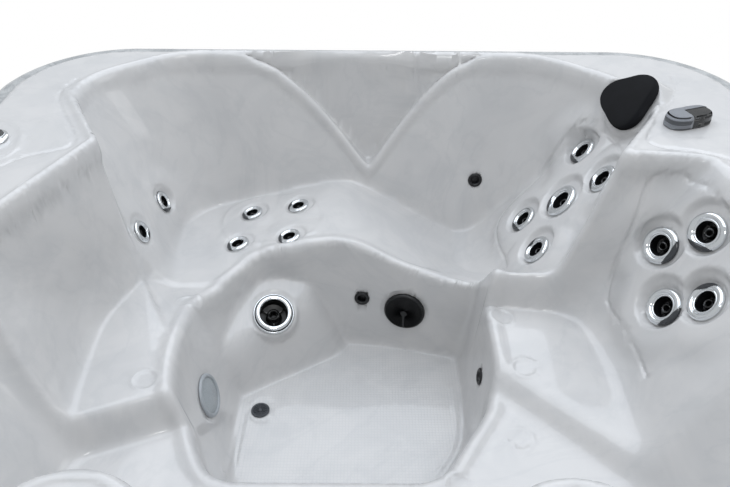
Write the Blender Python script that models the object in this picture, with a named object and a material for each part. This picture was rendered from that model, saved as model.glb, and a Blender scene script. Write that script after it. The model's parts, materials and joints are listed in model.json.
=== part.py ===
"""A hot tub with a lounger, built as an assembly of separate pieces.

The tub stands on its base pan with +Z up. The origin is the middle of the footprint on the ground.
+X is the lounger's head end and +Y the side of the lounger, so a person at -Y looks over the front
seats at the lounger. All lengths are in metres.
"""
import math
from typing import NamedTuple

import bmesh
import bpy
import numpy as np
from mathutils import Matrix, Vector

# Overall sizes
TUB_SIDE = 2.13
RIM_HEIGHT = 0.905
CORNER_RADIUS = 0.34
SHELL_WALL = 0.008
SKIRT_DEPTH = 0.060
RIM_ROLL_WIDTH = 0.045
RIM_ROLL_DROP = 0.020
GAP = 0.0004
OVERRUN = 0.020

# Heights of the seats and of the lounger's profile
FLOOR_HEIGHT = 0.145
LEFT_SEAT_HEIGHT = 0.485
RIGHT_SEAT_HEIGHT = 0.450
FRONT_SEAT_HEIGHT = 0.400
FOOT_REST_HEIGHT = 0.430
CALF_START_HEIGHT = 0.448
KNEE_HEIGHT = 0.506
LOUNGE_SEAT_HEIGHT = 0.322
LUMBAR_HEIGHT = 0.520
HIP_LIP_HEIGHT = 0.060
HIP_EDGE_HEIGHT = 0.410
FOOTWELL_EDGE_HEIGHT = 0.450
ARCH_NOTCH_HEIGHT = 0.560
PEDESTAL_HEIGHT = 0.330

# Softness of the moulded creases and edges, measured as height
CREASE_TIGHT = 0.020
CREASE_FIRM = 0.030
CREASE_SOFT = 0.050
CREASE_WIDE = 0.060
CREASE_ROUND = 0.100
CREASE_BROAD = 0.200

# Lounger profile: where each stretch starts, as shares of the side, and its gradient
CALF_SHARE = -0.197
CALF_GRADIENT = 0.23
KNEE_SHARE = -0.019
KNEE_GRADIENT = -0.535
LUMBAR_SHARE = 0.216
LUMBAR_GRADIENT = 1.22
LUMBAR_SIDE_SHARE = 0.235
LUMBAR_SIDE_GRADIENT = -0.10
HIP_SHARE = 0.131
HIP_LIP_SHARES = (0.338, 0.094, 0.075)

# Arches on the back wall: middle, notch roundness and the rise of each side
ARCH_MIDDLE_SHARE = -0.006
ARCH_NOTCH_ROUND = 0.018
ARCH_LEFT_GRADIENT = 1.50
ARCH_LEFT_SPAN = 0.487
ARCH_RIGHT_GRADIENT = 1.70
ARCH_RIGHT_SPAN = 0.436
BAY_WALL_SHARE = 0.4615
BAY_WALL_GRADIENT = 3.9
SETBACK_WALL_SHARE = 0.465
SETBACK_WALL_GRADIENT = 9.0

# Counts and tolerances of the model
STRAIGHT_CELLS = 9
CORNER_CELLS = 3
RELAX_ROUNDS = 60
MAX_SLANT = 2.8
FITTING_SIDES = 12
LINK_SIDES = 6
PIPE_STEPS = 3
GRID_TOLERANCE = 1e-6
MERGE_DISTANCE = 1e-5
SMOOTH_ANGLE = math.radians(35.0)

# Rim bands and the seats of the fittings
RIM_FLAT_WIDTH = 0.025
PAD_MARGIN = 0.005
PAD_LIP = 0.001
PAD_DEPTH = 0.036
RECESS_MARGIN = 0.003
RECESS_REACH = 0.030
BORE_CLEARANCE = 0.0012
STEM_REACH = 0.012
STEM_LENGTH = PAD_DEPTH + STEM_REACH
PLANE_REACH_SHARE = 0.1
ROUND_POWER = 2.0

# Jets and water fittings
SMALL_BACK_JET_RADIUS = 0.044
LARGE_BACK_JET_RADIUS = 0.053
LEG_JET_RADIUS = 0.034
SEAT_JET_RADIUS = 0.048
DOME_JET_RADIUS = 0.062
SUCTION_RADIUS = 0.062
LIGHT_RADIUS = 0.059
DRAIN_RADIUS = 0.026
OUTLET_RADIUS = 0.023
STEM_SHARE = 0.52
SUCTION_STEM_SHARE = 0.42
DOME_STEM_SHARE = 0.48
BODY_WALL = 0.004
BODY_LENGTH = 0.050
LIGHT_HOUSING_LENGTH = 0.035
DRAIN_BODY_LENGTH = 0.045
LINK_RADIUS = 0.012
LINK_SET = 0.018
JET_FACE_SHARES = ((1.0, 0.09), (0.86, 0.17), (0.44, -0.02), (0.26, -0.36), (0.0, 0.02))
OUTLET_FACE_SHARES = ((1.0, 0.12), (0.80, 0.20), (0.52, 0.08), (0.46, -0.60), (0.0, -0.60))
SUCTION_FACE_SHARES = ((1.0, 0.10), (0.88, 0.19), (0.60, 0.26), (0.30, 0.29), (0.0, 0.30))
LIGHT_FACE_SHARES = ((1.0, 0.05), (0.94, 0.09), (0.84, 0.07), (0.50, 0.12), (0.0, 0.14))
DRAIN_FACE_SHARES = ((1.0, 0.08), (0.86, 0.13), (0.0, 0.15))

# Head pillow
PILLOW_RADIUS = 0.078
PILLOW_WIDTH_SHARE = 1.12
PILLOW_CORNER_SHARE = 0.10
PILLOW_THICKNESS = 0.045
PILLOW_PEG_RADIUS = 0.009
PILLOW_PEG_LENGTH = 0.022
PILLOW_SECTION_SHARES = ((0.86, 0.0), (0.97, 0.16), (1.0, 0.38), (0.95, 0.62), (0.80, 0.82), (0.48, 0.96))

# Deck fittings
DIVERTER_LENGTH = 0.130
DIVERTER_WIDTH = 0.066
DIVERTER_HEIGHT = 0.034
DIVERTER_POWER = 2.8
DIVERTER_TURN = math.radians(20.0)
DIVERTER_BASE_RADIUS = 0.069
DIVERTER_STEM_RADIUS = 0.014
DIVERTER_SECTION_SHARES = ((0.94, 0.0), (1.0, 0.15), (0.97, 0.70), (0.82, 0.95))
VALVE_RADIUS = 0.034
VALVE_LENGTH = 0.110
VALVE_PORT_SET = 0.028
VALVE_PORT_REACH = 0.050
TOPSIDE_LENGTH = 0.110
TOPSIDE_WIDTH = 0.060
TOPSIDE_HEIGHT = 0.014
TOPSIDE_POWER = 3.2
TOPSIDE_STEM_SHARE = 0.70
TOPSIDE_SECTION_SHARES = ((1.0, 0.0), (1.0, 0.50), (0.93, 1.0))
BUTTON_COUNT = 3
BUTTON_RADIUS = 0.009
BUTTON_TRAVEL = 0.0015
BUTTON_PROUD = 0.002
BUTTON_POCKET_DEPTH = 0.008
BUTTON_PITCH_SHARE = 0.27
FILTER_RADIUS = 0.085
FILTER_BORE_SHARE = 0.82
FILTER_LID_SINK = 0.010
FILTER_LID_THICKNESS = 0.013
FILTER_DEPTH = 0.260
FILTER_CARTRIDGE_CLEARANCE = 0.006
FILTER_CARTRIDGE_SHARE = 0.78
FILTER_CORE_SHARE = 0.35
LID_SECTION_SHARES = ((1.0, 0.0), (1.0, 0.75), (0.94, 1.0), (0.0, 1.0))

# Cabinet and frame
CABINET_INSET = 0.015
PANEL_THICKNESS = 0.012
PAN_THICKNESS = 0.030
BOTTOM_RAIL_DEPTH = 0.040
BOTTOM_RAIL_HEIGHT = 0.040
TOP_RAIL_HEIGHT = 0.030
POST_WIDTH = 0.060
POST_DEPTH = 0.025
POST_SET = 0.002
POST_SHARE = 0.235
GROOVE_WIDTH = 0.008
GROOVE_DEPTH = 0.004
GROOVE_SHARES = (-0.72, -0.24, 0.24, 0.72)

# Equipment under the seats, its places as shares of the side
PUMP_SHARES = (-0.130, -0.190)
PUMP_AXIS_HEIGHT = 0.125
WET_END_RADIUS = 0.095
WET_END_LENGTH = 0.080
WET_PORT_RADIUS = 0.034
WET_PORT_LENGTH = 0.025
MOTOR_RADIUS = 0.075
MOTOR_LENGTH = 0.260
MOTOR_FOOT_SHARES = (0.25, 0.80)
HEATER_RADIUS = 0.038
HEATER_LENGTH = 0.280
HEATER_FOOT_WIDTH = 0.050
CONTROL_BOX_SHARES = (0.080, -0.465)
CONTROL_BOX_LENGTH = 0.360
CONTROL_BOX_DEPTH = 0.110
CONTROL_BOX_HEIGHT = 0.220
MAIN_PIPE_RADIUS = 0.024
HOSE_RADIUS = 0.012
END_RUN_SHARE = 2.0
SUCTION_ROUTE_SHARES = ((0.150, 0.300, 0.090), (0.205, 0.180, 0.065), (0.205, -0.060, 0.065),
                        (0.120, -0.180, 0.072))
SUPPLY_ROUTE_SHARES = ((0.020, -0.410, 0.060), (0.300, -0.330, 0.062), (0.425, -0.100, 0.150),
                       (0.435, 0.150, 0.260), (0.385, 0.250, 0.305))
LOUNGE_ROUTE_SHARES = ((0.376, 0.315, 0.325), (0.340, 0.305, 0.265))
SEAT_ROUTE_SHARES = ((0.395, 0.190, 0.315),)
FOOT_ROUTE_SHARES = ((-0.180, -0.320, 0.115), (-0.300, -0.270, 0.110), (-0.300, 0.000, 0.100),
                      (-0.245, 0.200, 0.110))


class Wall(NamedTuple):
    """A drafted wall: two plan points as shares of the side, a height there and a gradient.

    The wall rises to the right of the way from start to end.
    """

    start_share: tuple
    end_share: tuple
    level: float
    gradient: float


LOUNGE_WALLS = (
    Wall((-0.2817, 0.4624), (-0.3897, 0.3756), RIM_HEIGHT, 3.0),
    Wall((-0.3850, 0.3756), (-0.3826, 0.2582), RIM_HEIGHT, 2.2),
    Wall((0.3380, 0.3756), (0.2441, 0.4531), RIM_HEIGHT, 3.5),
    Wall((0.3559, 0.2817), (0.3286, 0.3850), RIM_HEIGHT, 4.0),
)
LOUNGE_EDGE_WALLS = (
    Wall((-0.3826, 0.3131), (-0.3183, 0.2005), RIM_HEIGHT, 13.0),
    Wall((0.2962, 0.2099), (0.3638, 0.3075), RIM_HEIGHT, 5.0),
    Wall((-0.3286, 0.2207), (-0.1878, 0.2066), FOOT_REST_HEIGHT, 0.5),
)
HIP_WALL = Wall((0.0469, 0.2300), (0.2347, 0.2160), HIP_EDGE_HEIGHT, 1.5)
HIP_WALL_LIMIT = Wall((-0.0469, 0.0000), (-0.0469, 0.4695), HIP_EDGE_HEIGHT, 1.0)
RIGHT_SEAT_WALLS = (
    Wall((0.2648, 0.1385), (0.1549, 0.2136), RIGHT_SEAT_HEIGHT, 2.1),
    Wall((0.2808, 0.1056), (0.2648, 0.1385), RIGHT_SEAT_HEIGHT, 1.9),
    Wall((0.2793, 0.0000), (0.2808, 0.1056), RIGHT_SEAT_HEIGHT, 1.42),
    Wall((0.3756, 0.1761), (0.2939, 0.1850), RIM_HEIGHT, 6.0),
    Wall((0.0939, 0.2347), (0.0939, -0.2347), RIGHT_SEAT_HEIGHT, 3.0),
)
LEFT_SEAT_WALLS = (
    Wall((-0.2981, 0.2066), (-0.3310, 0.1268), LEFT_SEAT_HEIGHT, 4.0),
    Wall((-0.3310, 0.1268), (-0.3371, 0.0704), LEFT_SEAT_HEIGHT, 2.0),
    Wall((-0.3371, 0.0704), (-0.3286, -0.0235), LEFT_SEAT_HEIGHT, 2.0),
    Wall((-0.3221, 0.1746), (-0.3920, 0.1549), RIM_HEIGHT, 6.0),
    Wall((-0.1643, -0.2347), (-0.1643, 0.2817), LEFT_SEAT_HEIGHT, 3.0),
)
LEFT_STEP_WALLS = (
    Wall((-0.2300, 0.0000), (-0.3380, -0.0282), FRONT_SEAT_HEIGHT, 3.0),
    Wall((-0.3239, -0.0469), (-0.5728, -0.4460), FRONT_SEAT_HEIGHT, 1.45),
)
RIGHT_STEP_WALLS = (
    Wall((0.2817, -0.0469), (0.1268, 0.0164), FRONT_SEAT_HEIGHT, 3.0),
    Wall((0.3634, -0.1272), (0.2695, -0.0352), FRONT_SEAT_HEIGHT, 1.23),
)
FRONT_WALLS = (
    Wall((-0.4460, 0.0000), (-0.4460, -0.2817), RIM_HEIGHT, 1.9),
    Wall((0.4460, -0.2817), (0.4460, 0.0000), RIM_HEIGHT, 1.9),
    Wall((-0.2817, -0.4460), (0.2817, -0.4460), RIM_HEIGHT, 1.9),
    Wall((-0.4460, -0.2629), (-0.2629, -0.4460), RIM_HEIGHT, 1.9),
    Wall((0.2629, -0.4460), (0.4460, -0.2629), RIM_HEIGHT, 1.9),
)
FOOTWELL_WALLS = (
    Wall((-0.2268, 0.1643), (-0.2268, 0.0000), FOOTWELL_EDGE_HEIGHT, 3.3),
    Wall((-0.1573, 0.2559), (-0.2183, 0.1878), FOOTWELL_EDGE_HEIGHT, 4.0),
    Wall((0.0000, 0.2559), (-0.1408, 0.2559), FOOTWELL_EDGE_HEIGHT, 8.0),
    Wall((0.1371, 0.2207), (-0.0460, 0.2629), FOOTWELL_EDGE_HEIGHT, 10.0),
    Wall((0.1474, 0.0000), (0.1474, 0.1878), FOOTWELL_EDGE_HEIGHT, 7.0),
    Wall((0.0840, -0.0761), (0.1408, 0.0141), FOOTWELL_EDGE_HEIGHT, 4.0),
    Wall((-0.1408, -0.0892), (0.0469, -0.0892), FOOTWELL_EDGE_HEIGHT, 4.0),
    Wall((-0.2291, 0.0108), (-0.1850, -0.0737), FOOTWELL_EDGE_HEIGHT, 3.5),
)
PEDESTAL_WALLS = (
    Wall((-0.0141, 0.2371), (-0.1878, 0.1291), FLOOR_HEIGHT, 2.8),
    Wall((-0.0235, 0.2817), (-0.0704, 0.1408), FLOOR_HEIGHT, 2.2),
)
HEADREST_TIP_SHARES = ((-0.2019, -0.2254), (0.1268, -0.2254))
HEADREST_RADIUS = 0.120
HEADREST_GRADIENT = 5.0
PEDESTAL_SHARE = (-0.1357, 0.2061)
PEDESTAL_TILTS = (-0.179, 0.619)


def smooth_max(first, second, blend):
    """Return the larger of two heights, rounded over a blend."""
    weight = np.clip(0.5 + 0.5 * (first - second) / blend, 0.0, 1.0)
    return second + (first - second) * weight + blend * weight * (1.0 - weight)


def smooth_min(first, second, blend):
    """Return the smaller of two heights, rounded over a blend."""
    return -smooth_max(-first, -second, blend)


def wall_height(wall, x, y):
    """Return the height of a drafted wall over plan points."""
    start = np.array(wall.start_share) * TUB_SIDE
    end = np.array(wall.end_share) * TUB_SIDE
    along = (end - start) / np.hypot(*(end - start))
    outward = (x - start[0]) * along[1] - (y - start[1]) * along[0]
    return wall.level + wall.gradient * outward


def ring_of_walls(walls, x, y, blend):
    """Return the rounded envelope of several walls."""
    height = wall_height(walls[0], x, y)
    for wall in walls[1:]:
        height = smooth_max(height, wall_height(wall, x, y), blend)
    return height


def arch_height(x):
    """Return the height of the ledge that the two arches draw on the back wall."""
    offset = x - ARCH_MIDDLE_SHARE * TUB_SIDE
    reach = np.hypot(offset, ARCH_NOTCH_ROUND) - ARCH_NOTCH_ROUND
    gradient = np.where(offset < 0.0, ARCH_LEFT_GRADIENT, ARCH_RIGHT_GRADIENT)
    span = np.where(offset < 0.0, ARCH_LEFT_SPAN, ARCH_RIGHT_SPAN)
    capped = np.minimum(reach, span)
    return ARCH_NOTCH_HEIGHT + gradient * (capped - capped ** 2 / (2.0 * span))


def lounge_surface(x, y):
    """Return the lounger: foot rest, raised calves and knees, dished seat and sloping back."""
    foot = np.full_like(x, FOOT_REST_HEIGHT)
    calf = CALF_START_HEIGHT + CALF_GRADIENT * (x - CALF_SHARE * TUB_SIDE)
    thigh = KNEE_HEIGHT + KNEE_GRADIENT * (x - KNEE_SHARE * TUB_SIDE)
    seat = np.full_like(x, LOUNGE_SEAT_HEIGHT)
    lumbar = LUMBAR_HEIGHT + LUMBAR_GRADIENT * (x - LUMBAR_SHARE * TUB_SIDE)
    lumbar = lumbar + LUMBAR_SIDE_GRADIENT * (y - LUMBAR_SIDE_SHARE * TUB_SIDE)
    base = smooth_max(foot, calf, CREASE_TIGHT)
    base = smooth_min(base, thigh, CREASE_FIRM)
    base = smooth_max(base, seat, CREASE_FIRM)
    lip_start, lip_width, hip_width = (share * TUB_SIDE for share in HIP_LIP_SHARES)
    side = np.clip((lip_start - y) / lip_width, 0.0, 1.0) ** 2
    base = base + HIP_LIP_HEIGHT * side * np.exp(-((x - HIP_SHARE * TUB_SIDE) / hip_width) ** 2)
    base = smooth_max(base, lumbar, CREASE_ROUND)
    bay = RIM_HEIGHT + BAY_WALL_GRADIENT * (y - BAY_WALL_SHARE * TUB_SIDE)
    setback = RIM_HEIGHT + SETBACK_WALL_GRADIENT * (y - SETBACK_WALL_SHARE * TUB_SIDE)
    back = smooth_max(smooth_min(bay, arch_height(x), CREASE_TIGHT), setback, CREASE_FIRM)
    walls = smooth_max(back, ring_of_walls(LOUNGE_WALLS, x, y, CREASE_ROUND), CREASE_ROUND)
    walls = smooth_max(walls, ring_of_walls(LOUNGE_EDGE_WALLS, x, y, CREASE_SOFT), CREASE_SOFT)
    hip = smooth_min(wall_height(HIP_WALL, x, y), wall_height(HIP_WALL_LIMIT, x, y), CREASE_SOFT)
    walls = smooth_max(walls, hip, CREASE_SOFT)
    return smooth_max(base, walls, CREASE_FIRM)


def seat_surface(walls, level, x, y):
    """Return a side seat: a level seat inside its own walls and the walls under the rim."""
    rim_walls = ring_of_walls(FRONT_WALLS, x, y, CREASE_ROUND)
    height = smooth_max(ring_of_walls(walls, x, y, CREASE_SOFT), rim_walls, CREASE_SOFT)
    return smooth_max(np.full_like(x, level), height, CREASE_FIRM)


def front_surface(x, y):
    """Return the lower front bench with its steps up to the side seats."""
    left = ring_of_walls(LEFT_STEP_WALLS, x, y, CREASE_SOFT)
    right = ring_of_walls(RIGHT_STEP_WALLS, x, y, CREASE_SOFT)
    walls = smooth_max(np.where(x < 0.0, left, right), ring_of_walls(FRONT_WALLS, x, y, CREASE_ROUND),
                       CREASE_ROUND)
    return smooth_max(np.full_like(x, FRONT_SEAT_HEIGHT), walls, CREASE_FIRM)


def headrest_surface(x, y):
    """Return the two headrests that reach inwards from the front rim."""
    height = np.full_like(x, -RIM_HEIGHT)
    for share in HEADREST_TIP_SHARES:
        across = np.abs(x - share[0] * TUB_SIDE)
        along = np.maximum(y - share[1] * TUB_SIDE + HEADREST_RADIUS, 0.0)
        reach = np.hypot(across, along) - HEADREST_RADIUS
        height = np.maximum(height, RIM_HEIGHT - HEADREST_GRADIENT * reach)
    return height


def footwell_surface(x, y):
    """Return the footwell with the pedestal that carries the foot jet."""
    walls = ring_of_walls(FOOTWELL_WALLS, x, y, CREASE_BROAD)
    well = smooth_max(np.full_like(x, FLOOR_HEIGHT), walls, CREASE_WIDE)
    top = PEDESTAL_HEIGHT + PEDESTAL_TILTS[0] * (x - PEDESTAL_SHARE[0] * TUB_SIDE)
    top = top + PEDESTAL_TILTS[1] * (y - PEDESTAL_SHARE[1] * TUB_SIDE)
    for wall in PEDESTAL_WALLS:
        top = smooth_min(top, wall_height(wall, x, y), CREASE_WIDE)
    return smooth_max(well, top, CREASE_FIRM)


def edge_distance(x, y):
    """Return the distance inwards from the rounded square outline of the rim."""
    flat = TUB_SIDE / 2.0 - CORNER_RADIUS
    across = np.abs(x) - flat
    along = np.abs(y) - flat
    outside = np.hypot(np.maximum(across, 0.0), np.maximum(along, 0.0))
    inside = np.minimum(np.maximum(across, along), 0.0)
    return CORNER_RADIUS - outside - inside


def shell_surface(x, y):
    """Return the height of the shell's upper face over plan points."""
    height = smooth_min(lounge_surface(x, y),
                        seat_surface(LEFT_SEAT_WALLS, LEFT_SEAT_HEIGHT, x, y), CREASE_WIDE)
    right = seat_surface(RIGHT_SEAT_WALLS, RIGHT_SEAT_HEIGHT, x, y)
    height = smooth_min(height, right, CREASE_FIRM)
    height = smooth_min(height, front_surface(x, y), CREASE_FIRM)
    height = smooth_min(height, footwell_surface(x, y), CREASE_FIRM)
    height = smooth_max(height, headrest_surface(x, y), CREASE_ROUND)
    height = smooth_min(height, np.full_like(x, RIM_HEIGHT), CREASE_FIRM)
    roll = np.clip(1.0 - edge_distance(x, y) / RIM_ROLL_WIDTH, 0.0, 1.0)
    return height - RIM_ROLL_DROP * roll ** 2


def seat_frame(place_share, reach, aim=None):
    """Return the frame of a fitting: origin on the shell's face and Z along the face's normal."""
    x, y = (np.array([share * TUB_SIDE]) for share in place_share)
    height = shell_surface(x, y)[0]
    if aim is None:
        slope_x = (shell_surface(x + reach, y) - shell_surface(x - reach, y))[0] / (2.0 * reach)
        slope_y = (shell_surface(x, y + reach) - shell_surface(x, y - reach))[0] / (2.0 * reach)
        aim = (-slope_x, -slope_y, 1.0)
    turn = Vector(aim).to_track_quat("Z", "Y").to_matrix().to_4x4()
    return Matrix.Translation((x[0], y[0], height)) @ turn


def material(name, colour, roughness, metallic=0.0):
    """Return a Principled material."""
    made = bpy.data.materials.new(name)
    made.use_nodes = True
    shader = made.node_tree.nodes["Principled BSDF"]
    shader.inputs["Base Color"].default_value = (*colour, 1.0)
    shader.inputs["Roughness"].default_value = roughness
    shader.inputs["Metallic"].default_value = metallic
    return made


def finish(name, bm, finish_material, frame=Matrix.Identity(4)):
    """Turn a bmesh into an object placed by its frame, with its normals facing out."""
    bmesh.ops.recalc_face_normals(bm, faces=bm.faces)
    mesh = bpy.data.meshes.new(name)
    bm.to_mesh(mesh)
    bm.free()
    mesh.materials.append(finish_material)
    piece = bpy.data.objects.new(name, mesh)
    piece.location = frame.to_translation()
    piece.rotation_euler = frame.to_euler()
    bpy.context.collection.objects.link(piece)
    mesh.shade_smooth()
    mesh.set_sharp_from_angle(angle=SMOOTH_ANGLE)
    return piece


def hide_helper(piece):
    """Keep a cutter or another helper out of the model."""
    piece.hide_render = True
    piece.display_type = "WIRE"


def boolean(piece, helper, operation):
    """Add a Boolean modifier to a piece and hide its helper."""
    hide_helper(helper)
    modifier = piece.modifiers.new(helper.name, "BOOLEAN")
    modifier.operation = operation
    modifier.object = helper


def merged(shapes):
    """Return one bmesh made of several shapes, each moved by its own matrix."""
    whole = bmesh.new()
    for shape, matrix in shapes:
        shape.transform(matrix)
        bmesh.ops.recalc_face_normals(shape, faces=shape.faces)
        mesh = bpy.data.meshes.new("shape")
        shape.to_mesh(mesh)
        shape.free()
        whole.from_mesh(mesh)
        bpy.data.meshes.remove(mesh)
    return whole


def turned(profile, segments):
    """Return a solid of revolution about Z from a profile of radius and height pairs."""
    shape = bmesh.new()
    verts = [shape.verts.new((radius, 0.0, height)) for radius, height in profile]
    edges = [shape.edges.new(pair) for pair in zip(verts, verts[1:])]
    bmesh.ops.spin(shape, geom=verts + edges, axis=(0.0, 0.0, 1.0), cent=(0.0, 0.0, 0.0),
                   angle=2.0 * math.pi, steps=segments, use_merge=True)
    bmesh.ops.remove_doubles(shape, verts=shape.verts, dist=MERGE_DISTANCE)
    return shape


def cylinder(radius, bottom, top, segments):
    """Return a plain cylinder about Z."""
    return turned([(0.0, bottom), (radius, bottom), (radius, top), (0.0, top)], segments)


def prism(outline, bottom, top):
    """Return a straight solid over a plan outline."""
    shape = bmesh.new()
    face = shape.faces.new([shape.verts.new((x, y, bottom)) for x, y in outline])
    raised = bmesh.ops.extrude_face_region(shape, geom=[face])["geom"]
    bmesh.ops.translate(shape, vec=(0.0, 0.0, top - bottom),
                        verts=[item for item in raised if isinstance(item, bmesh.types.BMVert)])
    return shape


def layered(rings, close_top):
    """Return a solid that passes through rings of equal count, closed flat at the bottom.

    The top is closed by a pole at close_top.
    """
    shape = bmesh.new()
    loops = [[shape.verts.new(point) for point in ring] for ring in rings]
    count = len(loops[0])
    for lower, upper in zip(loops, loops[1:]):
        for index in range(count):
            following = (index + 1) % count
            shape.faces.new((lower[index], lower[following], upper[following], upper[index]))
    shape.faces.new(loops[0][::-1])
    pole = shape.verts.new(close_top)
    for index in range(count):
        shape.faces.new((loops[-1][index], loops[-1][(index + 1) % count], pole))
    return shape


def box(low, high):
    """Return a box between two corners."""
    shape = bmesh.new()
    size = Vector(high) - Vector(low)
    middle = (Vector(high) + Vector(low)) / 2.0
    place = Matrix.Translation(middle) @ Matrix.Diagonal((*size, 1.0))
    bmesh.ops.create_cube(shape, size=1.0, matrix=place)
    return shape


def oval(half_length, half_width, power):
    """Return the points of a rounded outline, an ellipse where the power is 2."""
    points = []
    for step in range(FITTING_SIDES):
        angle = 2.0 * math.pi * step / FITTING_SIDES
        across, along = math.cos(angle), math.sin(angle)
        reach = (abs(across) ** power + abs(along) ** power) ** (-1.0 / power)
        points.append((half_length * reach * across, half_width * reach * along))
    return points


def pipe(name, start, via, end, radius, pipe_material):
    """Add a pipe from one port to another, its ends square to the ports.

    A port is a point with the direction in which the pipe leaves it.
    """
    run = END_RUN_SHARE * radius
    leave = Vector(start[0]) + GAP * Vector(start[1]).normalized()
    arrive = Vector(end[0]) + GAP * Vector(end[1]).normalized()
    knots = [leave + run * Vector(start[1]).normalized()]
    knots += [Vector(point) for point in via]
    knots += [arrive + run * Vector(end[1]).normalized()]
    path = [leave]
    padded = [leave] + knots + [arrive]
    for before, first, second, after in zip(padded, padded[1:], padded[2:], padded[3:]):
        for step in range(PIPE_STEPS):
            share = step / PIPE_STEPS
            weights = (-share + 2.0 * share ** 2 - share ** 3, 2.0 - 5.0 * share ** 2 + 3.0 * share ** 3,
                       share + 4.0 * share ** 2 - 3.0 * share ** 3, share ** 3 - share ** 2)
            near = (before, first, second, after)
            path.append(sum((weight * knot for weight, knot in zip(weights, near)), Vector()) / 2.0)
    path += [knots[-1], arrive]
    curve = bpy.data.curves.new(name, "CURVE")
    curve.dimensions = "3D"
    curve.bevel_depth = radius
    curve.bevel_resolution = 2
    curve.use_fill_caps = True
    spline = curve.splines.new("POLY")
    spline.points.add(len(path) - 1)
    for point, place in zip(spline.points, path):
        point.co = (*place, 1.0)
    curve.materials.append(pipe_material)
    bpy.context.collection.objects.link(bpy.data.objects.new(name, curve))


def grid_steps():
    """Return the shell's grid lines from -1 to 1, with lines where the corner arcs and rim bands end."""
    half = TUB_SIDE / 2.0
    arc = 1.0 - CORNER_RADIUS / half
    flat = 1.0 - (RIM_ROLL_WIDTH + RIM_FLAT_WIDTH) / half
    roll = 1.0 - RIM_ROLL_WIDTH / half
    positive = np.concatenate([np.linspace(0.0, arc, STRAIGHT_CELLS + 1),
                               np.linspace(arc, flat, CORNER_CELLS + 1)[1:], [roll, 1.0]])
    return np.concatenate([-positive[:0:-1], positive])


def rounded(u, v):
    """Map points on the edge of the unit square to the rounded outline of the tub, as lengths."""
    half = TUB_SIDE / 2.0
    flat = half - CORNER_RADIUS
    across = np.abs(u) * half
    along = np.abs(v) * half
    steep = across >= along
    share = np.clip((np.minimum(across, along) - flat) / CORNER_RADIUS, 0.0, 1.0)
    angle = share * math.pi / 4.0
    major = flat + CORNER_RADIUS * np.cos(angle)
    minor = np.where(share > 0.0, flat + CORNER_RADIUS * np.sin(angle), np.minimum(across, along))
    x = np.where(steep, major, minor) * np.sign(u)
    y = np.where(steep, minor, major) * np.sign(v)
    return x, y


def corner_outline(inset, quadrant):
    """Return one corner of the tub's outline, inset, from its X side to its Y side."""
    steps = grid_steps()
    half = TUB_SIDE / 2.0
    shares = steps[steps >= 1.0 - CORNER_RADIUS / half - GRID_TOLERANCE]
    places = [(1.0, share) for share in shares] + [(share, 1.0) for share in shares[-2::-1]]
    x, y = rounded(np.array([place[0] for place in places]), np.array([place[1] for place in places]))
    centre = half - CORNER_RADIUS
    scale = (CORNER_RADIUS - inset) / CORNER_RADIUS
    return [(quadrant[0] * (centre + (px - centre) * scale), quadrant[1] * (centre + (py - centre) * scale))
            for px, py in zip(x, y)]


def tub_outline(inset):
    """Return the whole outline of the tub, inset and counterclockwise."""
    points = []
    for quadrant in ((1.0, 1.0), (-1.0, 1.0), (-1.0, -1.0), (1.0, -1.0)):
        corner = corner_outline(inset, quadrant)
        points += corner if quadrant[0] * quadrant[1] > 0.0 else corner[::-1]
    return points


def ring_solid(outer_inset, inner_inset, bottom, top):
    """Return a band that follows the tub's outline."""
    shape = bmesh.new()
    loops = []
    for inset, height in ((outer_inset, bottom), (outer_inset, top),
                          (inner_inset, top), (inner_inset, bottom)):
        loops.append([shape.verts.new((x, y, height)) for x, y in tub_outline(inset)])
    count = len(loops[0])
    for lower, upper in zip(loops, loops[1:] + loops[:1]):
        for index in range(count):
            following = (index + 1) % count
            shape.faces.new((lower[index], lower[following], upper[following], upper[index]))
    return shape


def shell_plan():
    """Return the plan positions of the shell's grid, drawn together where the walls are steep."""
    steps = grid_steps()
    half = TUB_SIDE / 2.0
    u, v = np.meshgrid(steps, steps, indexing="ij")
    reach = np.maximum(np.maximum(np.abs(u), np.abs(v)), GRID_TOLERANCE)
    edge_x, edge_y = rounded(u / reach, v / reach)
    pull = reach ** 4
    x = half * u + pull * (edge_x - half * u / reach)
    y = half * v + pull * (edge_y - half * v / reach)
    for ring, inset in ((0, 0.0), (1, RIM_ROLL_WIDTH), (2, RIM_ROLL_WIDTH + RIM_FLAT_WIDTH)):
        on_ring = np.minimum(np.minimum(*np.indices(u.shape)),
                             np.minimum(*(len(steps) - 1 - np.indices(u.shape)))) == ring
        share = 1.0 - inset / half
        ring_x, ring_y = rounded(u[on_ring] / share, v[on_ring] / share)
        flat = half - CORNER_RADIUS
        scale = (CORNER_RADIUS - inset) / CORNER_RADIUS
        for plan, values in ((x, ring_x), (y, ring_y)):
            beyond = np.maximum(np.abs(values) - flat, 0.0)
            plan[on_ring] = np.sign(values) * (np.minimum(np.abs(values), flat) + beyond * scale)
    inner = slice(3, -3)
    for _ in range(RELAX_ROUNDS):
        z = shell_surface(x, y)
        pulls = np.zeros((3,) + x[inner, inner].shape)
        for shift in ((1, 0), (-1, 0), (0, 1), (0, -1)):
            near = [np.roll(plan, shift, (0, 1))[inner, inner] for plan in (x, y, z)]
            weight = ((near[0] - x[inner, inner]) ** 2 + (near[1] - y[inner, inner]) ** 2
                      + (near[2] - z[inner, inner]) ** 2)
            pulls += np.array([weight, weight * near[0], weight * near[1]])
        x[inner, inner] = (x[inner, inner] + pulls[1] / pulls[0]) / 2.0
        y[inner, inner] = (y[inner, inner] + pulls[2] / pulls[0]) / 2.0
    return x, y


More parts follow.
